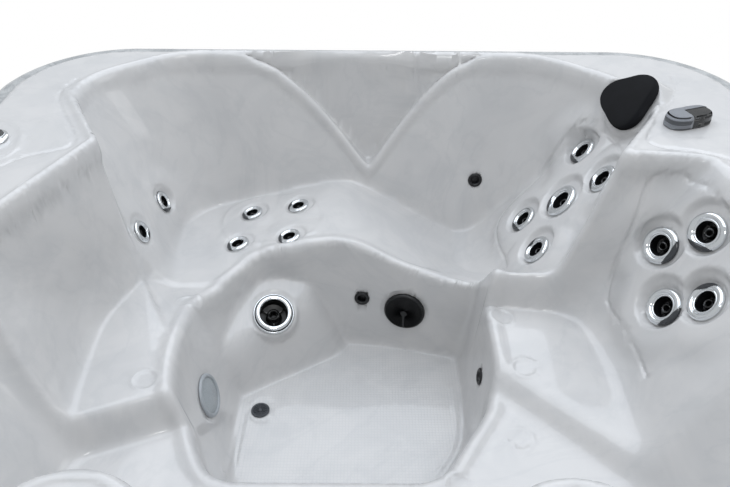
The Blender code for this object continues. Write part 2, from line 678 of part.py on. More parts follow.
def shell_triangles(x, y, z):
    """Return the grid's triangles, each quad split along the diagonal that lies nearer the surface."""
    rows, columns = x.shape
    index = np.arange(rows * columns).reshape(rows, columns)
    a, b, c, d = index[:-1, :-1], index[1:, :-1], index[1:, 1:], index[:-1, 1:]
    flat_x, flat_y, flat_z = x.ravel(), y.ravel(), z.ravel()
    misses = []
    for first, second in ((a, c), (b, d)):
        middle = [(plan[first] + plan[second]) / 2.0 for plan in (flat_x, flat_y, flat_z)]
        misses.append(np.abs(shell_surface(middle[0], middle[1]) - middle[2]))
    main = misses[0] <= misses[1]
    one = np.where(main[..., None], np.stack([a, b, c], -1), np.stack([a, b, d], -1))
    two = np.where(main[..., None], np.stack([a, c, d], -1), np.stack([b, c, d], -1))
    return np.concatenate([one.reshape(-1, 3), two.reshape(-1, 3)])


def shell_body():
    """Return the moulded shell: the upper face, the lower face behind its wall and the skirt."""
    x, y = shell_plan()
    z = shell_surface(x, y)
    triangles = shell_triangles(x, y, z)
    points = np.stack([x.ravel(), y.ravel(), z.ravel()], -1)
    first, second, third = (points[triangles[:, corner]] for corner in range(3))
    normal = np.cross(second - first, third - first)
    slant = np.linalg.norm(normal, axis=1) / np.abs(normal[:, 2])
    steepest = np.ones(len(points))
    for corner in range(3):
        np.maximum.at(steepest, triangles[:, corner], slant)
    depth = SHELL_WALL * np.minimum(steepest, MAX_SLANT)
    index = np.arange(x.size).reshape(x.shape)
    border = np.concatenate([index[:-1, 0], index[-1, :-1], index[:0:-1, -1], index[0, :0:-1]])
    depth[border] = SHELL_WALL
    under = points - np.stack([np.zeros(len(points)), np.zeros(len(points)), depth], -1)
    flat = TUB_SIDE / 2.0 - CORNER_RADIUS
    scale = (CORNER_RADIUS - SHELL_WALL) / CORNER_RADIUS
    beyond = np.maximum(np.abs(points[border, :2]) - flat, 0.0)
    inset = np.sign(points[border, :2]) * (np.minimum(np.abs(points[border, :2]), flat) + beyond * scale)
    under[border, :2] = inset
    shape = bmesh.new()
    upper = [shape.verts.new(point) for point in points]
    lower = [shape.verts.new(point) for point in under]
    for triangle in triangles:
        shape.faces.new([upper[corner] for corner in triangle])
        shape.faces.new([lower[corner] for corner in triangle[::-1]])
    hem = RIM_HEIGHT - RIM_ROLL_DROP - SKIRT_DEPTH
    outer = [shape.verts.new((points[i, 0], points[i, 1], hem)) for i in border]
    inner = [shape.verts.new((px, py, hem)) for px, py in inset]
    for place in range(len(border)):
        following = (place + 1) % len(border)
        loops = ([upper[border[i]] for i in (place, following)], [outer[i] for i in (place, following)],
                 [inner[i] for i in (place, following)], [lower[border[i]] for i in (place, following)])
        for first, second in zip(loops, loops[1:]):
            shape.faces.new((first[0], first[1], second[1], second[0]))
    return shape


class Fitting(NamedTuple):
    """A round fitting on the shell: its name, its place as shares of the side, and its radii."""

    name: str
    place_share: tuple
    radius: float
    stem_share: float = STEM_SHARE

    @property
    def stem(self):
        """Return the radius of the stem that passes through the shell."""
        return self.radius * self.stem_share


class Seat(NamedTuple):
    """A place that the shell gives a fitting: a flat recess on a pad, with a hole through it.

    The outline and the hole are functions that return plan points for a margin.
    """

    frame: Matrix
    outline: object
    hole: object
    sink: float


LOUNGE_BACK_JETS = (
    Fitting("jet_face_lounge_back_1", (0.2944, 0.3596), SMALL_BACK_JET_RADIUS),
    Fitting("jet_face_lounge_back_2", (0.2962, 0.2685), SMALL_BACK_JET_RADIUS),
    Fitting("jet_face_lounge_back_3", (0.2568, 0.2915), LARGE_BACK_JET_RADIUS),
    Fitting("jet_face_lounge_back_4", (0.2174, 0.3202), SMALL_BACK_JET_RADIUS),
    Fitting("jet_face_lounge_back_5", (0.2188, 0.2357), SMALL_BACK_JET_RADIUS),
)
CALF_JETS = (
    Fitting("jet_face_calf_1", (-0.1803, 0.3629), LEG_JET_RADIUS),
    Fitting("jet_face_calf_2", (-0.1099, 0.3596), LEG_JET_RADIUS),
    Fitting("jet_face_calf_3", (-0.1169, 0.2854), LEG_JET_RADIUS),
    Fitting("jet_face_calf_4", (-0.1915, 0.2901), LEG_JET_RADIUS),
)
FOOT_END_JETS = (
    Fitting("jet_face_foot_end_1", (-0.3038, 0.3427), LEG_JET_RADIUS),
    Fitting("jet_face_foot_end_2", (-0.3085, 0.2493), LEG_JET_RADIUS),
)
RIGHT_SEAT_JETS = (
    Fitting("jet_face_right_seat_1", (0.3319, 0.1413), SEAT_JET_RADIUS),
    Fitting("jet_face_right_seat_2", (0.3653, 0.1174), SEAT_JET_RADIUS),
    Fitting("jet_face_right_seat_3", (0.3286, 0.0850), SEAT_JET_RADIUS),
    Fitting("jet_face_right_seat_4", (0.3549, 0.0563), SEAT_JET_RADIUS),
)
FOOT_DOME_JETS = (Fitting("jet_face_foot_dome", PEDESTAL_SHARE, DOME_JET_RADIUS, DOME_STEM_SHARE),)
OUTLETS = (
    Fitting("outlet_footwell_back", (-0.0141, 0.2455), OUTLET_RADIUS),
    Fitting("outlet_footwell_side", (0.1376, 0.1061), OUTLET_RADIUS),
    Fitting("outlet_lounge_wall", (0.1582, 0.4150), OUTLET_RADIUS),
)
SUCTION = Fitting("suction_cover", (0.0469, 0.2339), SUCTION_RADIUS, SUCTION_STEM_SHARE)
LIGHT = Fitting("light_lens", (-0.2042, 0.0765), LIGHT_RADIUS)
DRAIN = Fitting("drain_cover", (-0.1493, 0.1094), DRAIN_RADIUS)
FILTER = Fitting("filter_lid", (-0.4014, -0.4028), FILTER_RADIUS, FILTER_BORE_SHARE)
PILLOW_SHARE = (0.3366, 0.3408)
PILLOW_AIM = (-0.72, -0.30, 0.62)
DIVERTER_SHARE = (0.3765, 0.2587)
TOPSIDE_SHARE = (-0.4469, 0.2056)
PEDESTAL_AIM = (-PEDESTAL_TILTS[0], -PEDESTAL_TILTS[1], 1.0)
UP_AIM = (0.0, 0.0, 1.0)
JET_GROUPS = (
    ("lounge_back_manifold", LOUNGE_BACK_JETS, ((0, 2), (1, 2), (3, 2), (4, 2))),
    ("calf_manifold", CALF_JETS, ((0, 1), (1, 2), (2, 3))),
    ("foot_end_manifold", FOOT_END_JETS, ((0, 1),)),
    ("right_seat_manifold", RIGHT_SEAT_JETS, ((0, 1), (0, 2), (2, 3))),
    ("foot_dome_jet_body", FOOT_DOME_JETS, ()),
)


def clear_scene():
    """Remove the objects that the scene starts with."""
    for piece in list(bpy.data.objects):
        bpy.data.objects.remove(piece, do_unlink=True)


def fitting_frame(fitting):
    """Return the frame of a round fitting."""
    aim = None
    if fitting.place_share == PEDESTAL_SHARE:
        aim = PEDESTAL_AIM
    if fitting is FILTER:
        aim = UP_AIM
    return seat_frame(fitting.place_share, fitting.radius * PLANE_REACH_SHARE, aim)


def diverter_frame():
    """Return the frame of the diverter's valve, upright under the deck."""
    return seat_frame(DIVERTER_SHARE, DIVERTER_WIDTH, UP_AIM)


def round_outline(radius):
    """Return a function that gives a round outline of this radius for a margin."""
    return lambda margin: oval(radius + margin, radius + margin, ROUND_POWER)


def round_seat(fitting, sink=0.0):
    """Return the seat of a round fitting, sunk below the shell's face if asked."""
    return Seat(fitting_frame(fitting) @ Matrix.Translation((0.0, 0.0, -sink)),
                round_outline(fitting.radius), round_outline(fitting.stem + BORE_CLEARANCE), sink)


def pillow_outline(margin):
    """Return the outline of the head pillow: a triangle with round corners, its point down."""
    points = []
    for step in range(FITTING_SIDES):
        angle = 2.0 * math.pi * step / FITTING_SIDES
        reach = (PILLOW_RADIUS + margin) * (1.0 + PILLOW_CORNER_SHARE * math.sin(3.0 * angle))
        points.append((reach * math.cos(angle) * PILLOW_WIDTH_SHARE, reach * math.sin(angle)))
    return points


def topside_outline(margin):
    """Return the outline of the topside control."""
    return oval(TOPSIDE_LENGTH / 2.0 + margin, TOPSIDE_WIDTH / 2.0 + margin, TOPSIDE_POWER)


def diverter_outline(margin):
    """Return the outline of the diverter's handle."""
    return oval(DIVERTER_LENGTH / 2.0 + margin, DIVERTER_WIDTH / 2.0 + margin, DIVERTER_POWER)


def topside_stem(margin):
    """Return the outline of the topside control's stem."""
    return oval(TOPSIDE_LENGTH * TOPSIDE_STEM_SHARE / 2.0 + margin,
                TOPSIDE_WIDTH * TOPSIDE_STEM_SHARE / 2.0 + margin, TOPSIDE_POWER)


def shell_seats():
    """Return the seats of all fittings on the shell, by the fittings' names."""
    seats = {fitting.name: round_seat(fitting)
             for group in (*(jets for _, jets, _ in JET_GROUPS), OUTLETS, (SUCTION, LIGHT, DRAIN))
             for fitting in group}
    seats[FILTER.name] = round_seat(FILTER, FILTER_LID_SINK)
    seats["pillow"] = Seat(seat_frame(PILLOW_SHARE, PILLOW_RADIUS, PILLOW_AIM), pillow_outline,
                           round_outline(PILLOW_PEG_RADIUS + BORE_CLEARANCE), 0.0)
    seats["diverter_handle"] = Seat(diverter_frame() @ Matrix.Rotation(DIVERTER_TURN, 4, "Z"),
                                    round_outline(DIVERTER_BASE_RADIUS),
                                    round_outline(DIVERTER_STEM_RADIUS + BORE_CLEARANCE), 0.0)
    seats["topside_panel"] = Seat(seat_frame(TOPSIDE_SHARE, TOPSIDE_WIDTH, UP_AIM), topside_outline,
                                  lambda margin: topside_stem(margin + BORE_CLEARANCE), 0.0)
    return seats


def make_shell(seats, acrylic):
    """Add the shell with a pad, a recess and a hole for every fitting."""
    shell = finish("shell", shell_body(), acrylic)
    pads = [(prism(seat.outline(PAD_MARGIN), -PAD_DEPTH, seat.sink + PAD_LIP), seat.frame)
            for seat in seats.values()]
    recesses = [(prism(seat.outline(RECESS_MARGIN), 0.0, RECESS_REACH), seat.frame)
                for seat in seats.values()]
    bores = [(prism(seat.hole(0.0), -PAD_DEPTH - OVERRUN, OVERRUN), seat.frame)
             for seat in seats.values()]
    boolean(shell, finish("shell_pads", merged(pads), acrylic), "UNION")
    boolean(shell, finish("shell_recesses", merged(recesses), acrylic), "DIFFERENCE")
    boolean(shell, finish("shell_bores", merged(bores), acrylic), "DIFFERENCE")


def fitting_profile(fitting, shares):
    """Return a fitting's profile: its stem below the flange and its own face above."""
    stem = [(0.0, -STEM_LENGTH), (fitting.stem, -STEM_LENGTH), (fitting.stem, GAP)]
    face = [(share * fitting.radius, GAP + height * fitting.radius) for share, height in shares]
    return stem + [(fitting.radius, GAP)] + face


def cup(fitting, length):
    """Return the body behind a fitting: a cup that takes the stem, against the back of its pad."""
    top = -PAD_DEPTH - GAP
    floor = -STEM_LENGTH - GAP
    socket = fitting.stem + BORE_CLEARANCE
    outer = fitting.stem + BODY_WALL
    return turned([(0.0, floor), (socket, floor), (socket, top), (outer, top), (outer, top - length),
                   (0.0, top - length)], FITTING_SIDES)


def back_port(seats, name, length):
    """Return the middle of a body's back face and the direction that leaves it."""
    frame = seats[name].frame
    return (frame @ Vector((0.0, 0.0, -PAD_DEPTH - GAP - length)), -frame.to_3x3().col[2])


def link(start, end):
    """Return a short straight pipe between two points, with its matrix."""
    along = end - start
    turn = along.to_track_quat("Z", "Y").to_matrix().to_4x4()
    return cylinder(LINK_RADIUS, 0.0, along.length, LINK_SIDES), Matrix.Translation(start) @ turn


def make_jets(seats, chrome, plumbing):
    """Add each jet's turning face and, behind each group, the bodies joined by their links."""
    depth = Vector((0.0, 0.0, -PAD_DEPTH - BODY_LENGTH + LINK_SET))
    for manifold_name, jets, links in JET_GROUPS:
        for jet in jets:
            profile = fitting_profile(jet, JET_FACE_SHARES)
            finish(jet.name, turned(profile, FITTING_SIDES), chrome, seats[jet.name].frame)
        bodies = [(cup(jet, BODY_LENGTH), seats[jet.name].frame) for jet in jets]
        manifold = finish(manifold_name, merged(bodies), plumbing)
        for first, second in links:
            ends = [seats[jets[place].name].frame @ depth for place in (first, second)]
            helper = finish(f"{manifold_name}_link_{first}_{second}", merged([link(*ends)]), plumbing)
            boolean(manifold, helper, "UNION")


def make_water_fittings(seats, grey, dark, lens, plumbing):
    """Add the suction, the outlets, the light and the floor drain with the bodies behind them."""
    for outlet in OUTLETS:
        profile = fitting_profile(outlet, OUTLET_FACE_SHARES)
        finish(outlet.name, turned(profile, FITTING_SIDES), dark, seats[outlet.name].frame)
    for fitting, shares, finish_material in ((SUCTION, SUCTION_FACE_SHARES, dark),
                                             (LIGHT, LIGHT_FACE_SHARES, lens),
                                             (DRAIN, DRAIN_FACE_SHARES, grey)):
        shape = turned(fitting_profile(fitting, shares), FITTING_SIDES)
        finish(fitting.name, shape, finish_material, seats[fitting.name].frame)
    for name, fitting, length in (("suction_body", SUCTION, BODY_LENGTH),
                                  ("light_housing", LIGHT, LIGHT_HOUSING_LENGTH),
                                  ("drain_body", DRAIN, DRAIN_BODY_LENGTH)):
        finish(name, cup(fitting, length), plumbing, seats[fitting.name].frame)


def scaled_ring(outline, scale, height):
    """Return an outline's points, scaled about its middle, at a height."""
    return [(x * scale, y * scale, height) for x, y in outline]


def make_pillow(seats, soft):
    """Add the head pillow: drawn-in sides, a crowned face and a peg in the shell."""
    peg = oval(PILLOW_PEG_RADIUS, PILLOW_PEG_RADIUS, ROUND_POWER)
    rings = [scaled_ring(peg, 1.0, -PILLOW_PEG_LENGTH), scaled_ring(peg, 1.0, GAP)]
    rings += [scaled_ring(pillow_outline(0.0), scale, GAP + height * PILLOW_THICKNESS)
              for scale, height in PILLOW_SECTION_SHARES]
    finish("pillow", layered(rings, (0.0, 0.0, GAP + PILLOW_THICKNESS)), soft, seats["pillow"].frame)


def make_diverter(seats, grey, plumbing):
    """Add the diverter's handle on the deck and its valve below."""
    stem = oval(DIVERTER_STEM_RADIUS, DIVERTER_STEM_RADIUS, ROUND_POWER)
    rings = [scaled_ring(stem, 1.0, -STEM_LENGTH), scaled_ring(stem, 1.0, GAP)]
    rings += [scaled_ring(diverter_outline(0.0), scale, GAP + height * DIVERTER_HEIGHT)
              for scale, height in DIVERTER_SECTION_SHARES]
    frame = seats["diverter_handle"].frame
    finish("diverter_handle", layered(rings, (0.0, 0.0, GAP + DIVERTER_HEIGHT)), grey, frame)
    top = -PAD_DEPTH - GAP
    socket = DIVERTER_STEM_RADIUS + BORE_CLEARANCE
    floor = -STEM_LENGTH - GAP
    profile = [(0.0, floor), (socket, floor), (socket, top), (VALVE_RADIUS, top),
               (VALVE_RADIUS, top - VALVE_LENGTH), (0.0, top - VALVE_LENGTH)]
    valve = finish("diverter_valve", turned(profile, FITTING_SIDES), plumbing, diverter_frame())
    for number, (middle, direction) in enumerate(valve_ports()):
        port = merged([link(middle - direction * (VALVE_PORT_REACH - VALVE_RADIUS / 2.0), middle)])
        boolean(valve, finish(f"diverter_valve_port_{number}", port, plumbing), "UNION")


def valve_ports():
    """Return the end and direction of the diverter valve's two side ports, world axes."""
    middle = diverter_frame() @ Vector((0.0, 0.0, -PAD_DEPTH - GAP - VALVE_LENGTH + VALVE_PORT_SET))
    return [(middle + VALVE_PORT_REACH * direction, direction)
            for direction in (Vector((0.0, 1.0, 0.0)), Vector((0.0, -1.0, 0.0)))]


def button_frame(seats, number):
    """Return the frame of one of the topside control's buttons."""
    offset = (number - 1) * TOPSIDE_LENGTH * BUTTON_PITCH_SHARE
    return seats["topside_panel"].frame @ Matrix.Translation((offset, 0.0, 0.0))


def make_topside(seats, chrome, rubber):
    """Add the topside control and its three buttons."""
    stem = topside_stem(0.0)
    rings = [scaled_ring(stem, 1.0, -STEM_LENGTH), scaled_ring(stem, 1.0, GAP)]
    rings += [scaled_ring(topside_outline(0.0), scale, GAP + height * TOPSIDE_HEIGHT)
              for scale, height in TOPSIDE_SECTION_SHARES]
    shape = layered(rings, (0.0, 0.0, GAP + TOPSIDE_HEIGHT))
    panel = finish("topside_panel", shape, chrome, seats["topside_panel"].frame)
    floor = TOPSIDE_HEIGHT - BUTTON_POCKET_DEPTH
    bottom = floor + BUTTON_TRAVEL + GAP
    pockets = []
    for number in range(BUTTON_COUNT):
        place = button_frame(seats, number)
        pocket = cylinder(BUTTON_RADIUS + GAP, floor, TOPSIDE_HEIGHT + OVERRUN, FITTING_SIDES)
        pockets.append((pocket, place))
        cap = cylinder(BUTTON_RADIUS, bottom, TOPSIDE_HEIGHT + BUTTON_PROUD, FITTING_SIDES)
        finish(f"topside_button_{number + 1}", cap, rubber, place)
    boolean(panel, finish("topside_pockets", merged(pockets), chrome), "DIFFERENCE")


def make_filter(seats, grey, paper, plumbing):
    """Add the skim filter in the corner deck: lid, housing and pleated cartridge."""
    frame = seats[FILTER.name].frame
    lid = [(share * FILTER_RADIUS, GAP + height * FILTER_LID_THICKNESS)
           for share, height in LID_SECTION_SHARES]
    finish(FILTER.name, turned([(0.0, GAP)] + lid, FITTING_SIDES), grey, frame)
    inner = FILTER.stem + BORE_CLEARANCE
    outer = inner + BODY_WALL
    top = -PAD_DEPTH - GAP
    floor = top - FILTER_DEPTH
    housing = turned([(0.0, floor + BODY_WALL), (inner, floor + BODY_WALL), (inner, top), (outer, top),
                      (outer, floor), (0.0, floor)], FITTING_SIDES)
    finish("filter_housing", housing, plumbing, frame)
    radius = inner - FILTER_CARTRIDGE_CLEARANCE
    bottom = floor + BODY_WALL + GAP
    height = FILTER_DEPTH * FILTER_CARTRIDGE_SHARE
    core = radius * FILTER_CORE_SHARE
    cartridge = turned([(0.0, bottom), (radius, bottom), (radius, bottom + height), (core, bottom + height),
                        (core, bottom + height / 2.0), (0.0, bottom + height / 2.0)], FITTING_SIDES)
    finish("filter_cartridge", cartridge, paper, frame)


def quarter_turn(number):
    """Return a number of quarter turns about Z."""
    return Matrix.Rotation(number * math.pi / 2.0, 4, "Z")


def make_cabinet(panel_material, steel):
    """Add the base pan, the frame, and the side and corner panels that hang on it."""
    half = TUB_SIDE / 2.0
    straight = half - CORNER_RADIUS
    finish("base_pan", prism(tub_outline(CABINET_INSET), 0.0, PAN_THICKNESS), panel_material)
    foot = PAN_THICKNESS + GAP
    inner = CABINET_INSET + PANEL_THICKNESS
    post_face = half - inner - GAP
    rail_top = RIM_HEIGHT - RIM_ROLL_DROP - SHELL_WALL - GAP
    rail_bottom = rail_top - TOP_RAIL_HEIGHT
    panel_top = rail_bottom - GAP
    frame = finish("frame", ring_solid(inner + GAP, inner + GAP + BOTTOM_RAIL_DEPTH, foot,
                                       foot + BOTTOM_RAIL_HEIGHT), steel)
    posts = []
    for number in range(4):
        for side in (-1.0, 1.0):
            middle = side * POST_SHARE * TUB_SIDE
            low = (middle - POST_WIDTH / 2.0, post_face - POST_DEPTH, foot + BOTTOM_RAIL_HEIGHT / 2.0)
            high = (middle + POST_WIDTH / 2.0, post_face - POST_SET, rail_bottom + TOP_RAIL_HEIGHT / 2.0)
            posts.append((box(low, high), quarter_turn(number)))
    boolean(frame, finish("frame_posts", merged(posts), steel), "UNION")
    rail = ring_solid(SHELL_WALL + GAP, RIM_ROLL_WIDTH, rail_bottom, rail_top)
    boolean(frame, finish("frame_top_rail", rail, steel), "UNION")
    names = ("left", "front", "right", "back")
    for number, name in enumerate(names):
        outer_y = half - CABINET_INSET
        outline = [(-straight + GAP, half - inner), (straight - GAP, half - inner),
                   (straight - GAP, outer_y)]
        for share in GROOVE_SHARES:
            middle = -share * straight
            outline += [(middle + GROOVE_WIDTH / 2.0, outer_y), (middle, outer_y - GROOVE_DEPTH),
                        (middle - GROOVE_WIDTH / 2.0, outer_y)]
        outline.append((-straight + GAP, outer_y))
        finish(f"side_panel_{name}", merged([(prism(outline, foot, panel_top), quarter_turn(number + 1))]),
               panel_material)
    for number, quadrant in enumerate(((1.0, 1.0), (-1.0, 1.0), (-1.0, -1.0), (1.0, -1.0))):
        outline = corner_outline(CABINET_INSET, quadrant) + corner_outline(inner, quadrant)[::-1]
        finish(f"corner_panel_{number + 1}", prism(outline, foot, panel_top), panel_material)


def make_equipment(seats, black, plumbing, steel):
    """Add the pump, the heater, the control box and the pipes under the seats."""
    foot = PAN_THICKNESS + GAP
    pump_x, pump_y = (share * TUB_SIDE for share in PUMP_SHARES)
    axis = PAN_THICKNESS + PUMP_AXIS_HEIGHT
    lie = Matrix.Rotation(math.pi / 2.0, 4, "Y")
    wet_frame = Matrix.Translation((pump_x, pump_y, axis)) @ lie
    inlet = WET_END_LENGTH + WET_PORT_LENGTH
    volute = turned([(0.0, 0.0), (WET_END_RADIUS, 0.0), (WET_END_RADIUS, WET_END_LENGTH),
                     (WET_PORT_RADIUS, WET_END_LENGTH), (WET_PORT_RADIUS, inlet), (0.0, inlet)],
                    FITTING_SIDES)
    wet = finish("pump_wet_end", volute, black, wet_frame)
    middle = Vector((pump_x + WET_END_LENGTH / 2.0, pump_y, axis))
    outlet_end = middle - Vector((0.0, WET_END_RADIUS + WET_PORT_LENGTH, 0.0))
    boolean(wet, finish("pump_outlet", merged([link(middle, outlet_end)]), black), "UNION")
    motor_frame = Matrix.Translation((pump_x - GAP - MOTOR_LENGTH, pump_y, axis)) @ lie
    barrel = cylinder(MOTOR_RADIUS, 0.0, MOTOR_LENGTH, FITTING_SIDES)
    motor = finish("pump_motor", barrel, steel, motor_frame)
    near, far = (pump_x - MOTOR_LENGTH * share for share in MOTOR_FOOT_SHARES)
    base = box((far, pump_y - MOTOR_RADIUS, foot),
               (near, pump_y + MOTOR_RADIUS, axis - MOTOR_RADIUS / 2.0))
    boolean(motor, finish("motor_foot", base, steel), "UNION")
    heater_start = outlet_end - Vector((0.0, GAP, 0.0))
    face = Vector((0.0, -1.0, 0.0)).to_track_quat("Z", "Y").to_matrix().to_4x4()
    heater = finish("heater_tube", cylinder(HEATER_RADIUS, 0.0, HEATER_LENGTH, FITTING_SIDES), steel,
                    Matrix.Translation(heater_start) @ face)
    heater_middle = heater_start - Vector((0.0, HEATER_LENGTH / 2.0, 0.0))
    spread = HEATER_FOOT_WIDTH / 2.0
    bracket = box((heater_middle.x - spread, heater_middle.y - spread, foot),
                  (heater_middle.x + spread, heater_middle.y + spread, axis))
    boolean(heater, finish("heater_foot", bracket, steel), "UNION")
    box_x, box_y = (share * TUB_SIDE for share in CONTROL_BOX_SHARES)
    finish("control_box", box((box_x, box_y, foot), (box_x + CONTROL_BOX_LENGTH, box_y + CONTROL_BOX_DEPTH,
                                                     foot + CONTROL_BOX_HEIGHT)), black)
    inlet_end = (Vector((pump_x + inlet, pump_y, axis)), Vector((1.0, 0.0, 0.0)))
    suction = back_port(seats, SUCTION.name, BODY_LENGTH)
    pipe("suction_pipe", suction, route(SUCTION_ROUTE_SHARES), inlet_end, MAIN_PIPE_RADIUS, plumbing)
    heater_end = (heater_start - Vector((0.0, HEATER_LENGTH, 0.0)), Vector((0.0, -1.0, 0.0)))
    valve_bottom = diverter_frame() @ Vector((0.0, 0.0, -PAD_DEPTH - GAP - VALVE_LENGTH))
    pipe("supply_pipe", heater_end, route(SUPPLY_ROUTE_SHARES), (valve_bottom, Vector((0.0, 0.0, -1.0))),
         MAIN_PIPE_RADIUS, plumbing)
    lounge_port, seat_port = valve_ports()
    pipe("lounge_hose", lounge_port, route(LOUNGE_ROUTE_SHARES),
         back_port(seats, LOUNGE_BACK_JETS[2].name, BODY_LENGTH), HOSE_RADIUS, plumbing)
    pipe("seat_hose", seat_port, route(SEAT_ROUTE_SHARES),
         back_port(seats, RIGHT_SEAT_JETS[0].name, BODY_LENGTH), HOSE_RADIUS, plumbing)
    heater_top = (heater_middle + Vector((0.0, 0.0, HEATER_RADIUS)), Vector((0.0, 0.0, 1.0)))
    pipe("foot_hose", heater_top, route(FOOT_ROUTE_SHARES),
         back_port(seats, CALF_JETS[3].name, BODY_LENGTH), HOSE_RADIUS, plumbing)


def route(shares):
    """Return a pipe's points between its ports from shares of the side."""
    return [tuple(share * TUB_SIDE for share in point) for point in shares]


def build():
    """Build every piece of the tub."""
    clear_scene()
    acrylic = material("pearl_acrylic", (0.80, 0.82, 0.84), 0.12)
    chrome = material("chromed_plastic", (0.78, 0.79, 0.80), 0.10, 1.0)
    plumbing = material("white_plumbing_plastic", (0.72, 0.73, 0.74), 0.45)
    grey = material("grey_plastic", (0.22, 0.23, 0.25), 0.40)
    dark = material("black_plastic", (0.02, 0.02, 0.025), 0.35)
    lens = material("frosted_lens", (0.55, 0.60, 0.62), 0.25)
    soft = material("pillow_foam_skin", (0.035, 0.037, 0.042), 0.55)
    rubber = material("button_rubber", (0.10, 0.11, 0.12), 0.55)
    paper = material("pleated_filter_paper", (0.80, 0.82, 0.84), 0.85)
    panels = material("cabinet_panel", (0.27, 0.27, 0.28), 0.55)
    steel = material("galvanised_steel", (0.45, 0.46, 0.47), 0.45, 1.0)
    seats = shell_seats()
    make_shell(seats, acrylic)
    make_jets(seats, chrome, plumbing)
    make_water_fittings(seats, grey, dark, lens, plumbing)
    make_pillow(seats, soft)
    make_diverter(seats, grey, plumbing)
    make_topside(seats, chrome, rubber)
    make_filter(seats, grey, paper, plumbing)
    make_cabinet(panels, steel)
    make_equipment(seats, dark, plumbing, steel)


build()
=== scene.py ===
"""The looks of a hot tub with a lounger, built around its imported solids.

The moulded shell is one refined sheet that follows the same drafted walls as the solid, with the
beads, grooves, dimples and wells of the real mould. Jets, covers, the pillow and the controls each
have a class of their own. All lengths are in metres.
"""
from __future__ import annotations

import json
import logging
import math
from dataclasses import dataclass, field
from enum import Enum
from typing import Callable, Sequence

import bmesh
import bpy
import numpy as np
from mathutils import Matrix, Vector


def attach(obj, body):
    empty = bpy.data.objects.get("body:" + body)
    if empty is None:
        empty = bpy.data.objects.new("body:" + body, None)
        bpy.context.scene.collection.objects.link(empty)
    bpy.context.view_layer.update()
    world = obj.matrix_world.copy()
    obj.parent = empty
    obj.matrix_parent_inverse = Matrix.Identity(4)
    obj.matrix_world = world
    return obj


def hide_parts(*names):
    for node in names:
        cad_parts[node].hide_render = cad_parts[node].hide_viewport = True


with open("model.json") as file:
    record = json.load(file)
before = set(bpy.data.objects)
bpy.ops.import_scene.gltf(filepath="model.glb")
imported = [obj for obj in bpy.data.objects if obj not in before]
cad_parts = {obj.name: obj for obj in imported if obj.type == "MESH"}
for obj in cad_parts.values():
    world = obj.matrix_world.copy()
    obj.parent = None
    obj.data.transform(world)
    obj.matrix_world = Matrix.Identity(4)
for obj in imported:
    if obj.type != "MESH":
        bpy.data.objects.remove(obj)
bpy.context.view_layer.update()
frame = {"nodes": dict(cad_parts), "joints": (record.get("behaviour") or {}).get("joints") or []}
LOG = logging.getLogger("hot_tub")
TAU = 2.0 * math.pi
GAP = 0.0004
Array = np.ndarray


# Numbers on arrays

def soft_max(first: Array, second: Array, blend: float) -> Array:
    """Return the larger of two heights, rounded over a blend."""
    weight = np.clip(0.5 + 0.5 * (first - second) / blend, 0.0, 1.0)
    return second + (first - second) * weight + blend * weight * (1.0 - weight)


def soft_min(first: Array, second: Array, blend: float) -> Array:
    """Return the smaller of two heights, rounded over a blend."""
    return -soft_max(-first, -second, blend)


def ease(values: Array, start: float, end: float) -> Array:
    """Return a smooth step from 0 at start to 1 at end."""
    share = np.clip((values - start) / (end - start), 0.0, 1.0)
    return share * share * (3.0 - 2.0 * share)


def hump(distance: Array, half_width: float) -> Array:
    """Return a round bump of height 1 at distance 0 that ends at half_width."""
    share = np.clip(np.abs(distance) / half_width, 0.0, 1.0)
    return (1.0 - share * share) ** 2


def path_distance(points: Array, path: Sequence[Sequence[float]], closed: bool) -> Array:
    """Return each point's distance to a path of straight runs.

    Args:
        points: an array of places, one row each.
        path: the path's corners, with as many numbers as a row.
        closed: whether the last corner joins the first.

    Returns:
        The distance of every row to the nearest run.
    """
    corners = [np.array(corner, float) for corner in path]
    ends = corners[1:] + corners[:1] if closed else corners[1:]
    nearest = np.full(len(points), np.inf)
    for start, end in zip(corners, ends):
        along = end - start
        share = np.clip((points - start) @ along / (along @ along), 0.0, 1.0)
        nearest = np.minimum(nearest, np.linalg.norm(points - start - share[:, None] * along, axis=1))
    return nearest


def rounded_path(corners: Sequence[Sequence[float]], closed: bool, rounds: int = 3) -> list[Array]:
    """Return a path with its corners cut round, as a panel's outline has them.

    Args:
        corners: the path's corners.
        closed: whether the last corner joins the first.
        rounds: how often the corners are cut.

    Returns:
        The corners of the rounded path.
    """
    path = [np.array(corner, float) for corner in corners]
    for _ in range(rounds):
        cut = []
        ends = path[1:] + path[:1] if closed else path[1:]
        for start, end in zip(path, ends):
            cut += [0.75 * start + 0.25 * end, 0.25 * start + 0.75 * end]
        path = cut if closed else [path[0], *cut, path[-1]]
    return path


# The mould's form, the same drafted walls as the solid

@dataclass(frozen=True)
class DraftedWall:
    """A straight wall of the mould, which rises to the right of the way from start to end."""

    start: tuple[float, float]
    end: tuple[float, float]
    level: float
    gradient: float

    def height(self, x: Array, y: Array) -> Array:
        """Return the wall's height over plan points.

        Args:
            x: the points' first coordinates.
            y: their second coordinates.

        Returns:
            The height of every point.
        """
        start, end = np.array(self.start), np.array(self.end)
        along = (end - start) / np.hypot(*(end - start))
        return self.level + self.gradient * ((x - start[0]) * along[1] - (y - start[1]) * along[0])


def ring_height(walls: Sequence[DraftedWall], x: Array, y: Array, blend: float) -> Array:
    """Return the rounded envelope of several walls.

    Args:
        walls: the walls.
        x: the points' first coordinates.
        y: their second coordinates.
        blend: the radius between two walls.

    Returns:
        The height of every point.
    """
    height = walls[0].height(x, y)
    for wall in walls[1:]:
        height = soft_max(height, wall.height(x, y), blend)
    return height


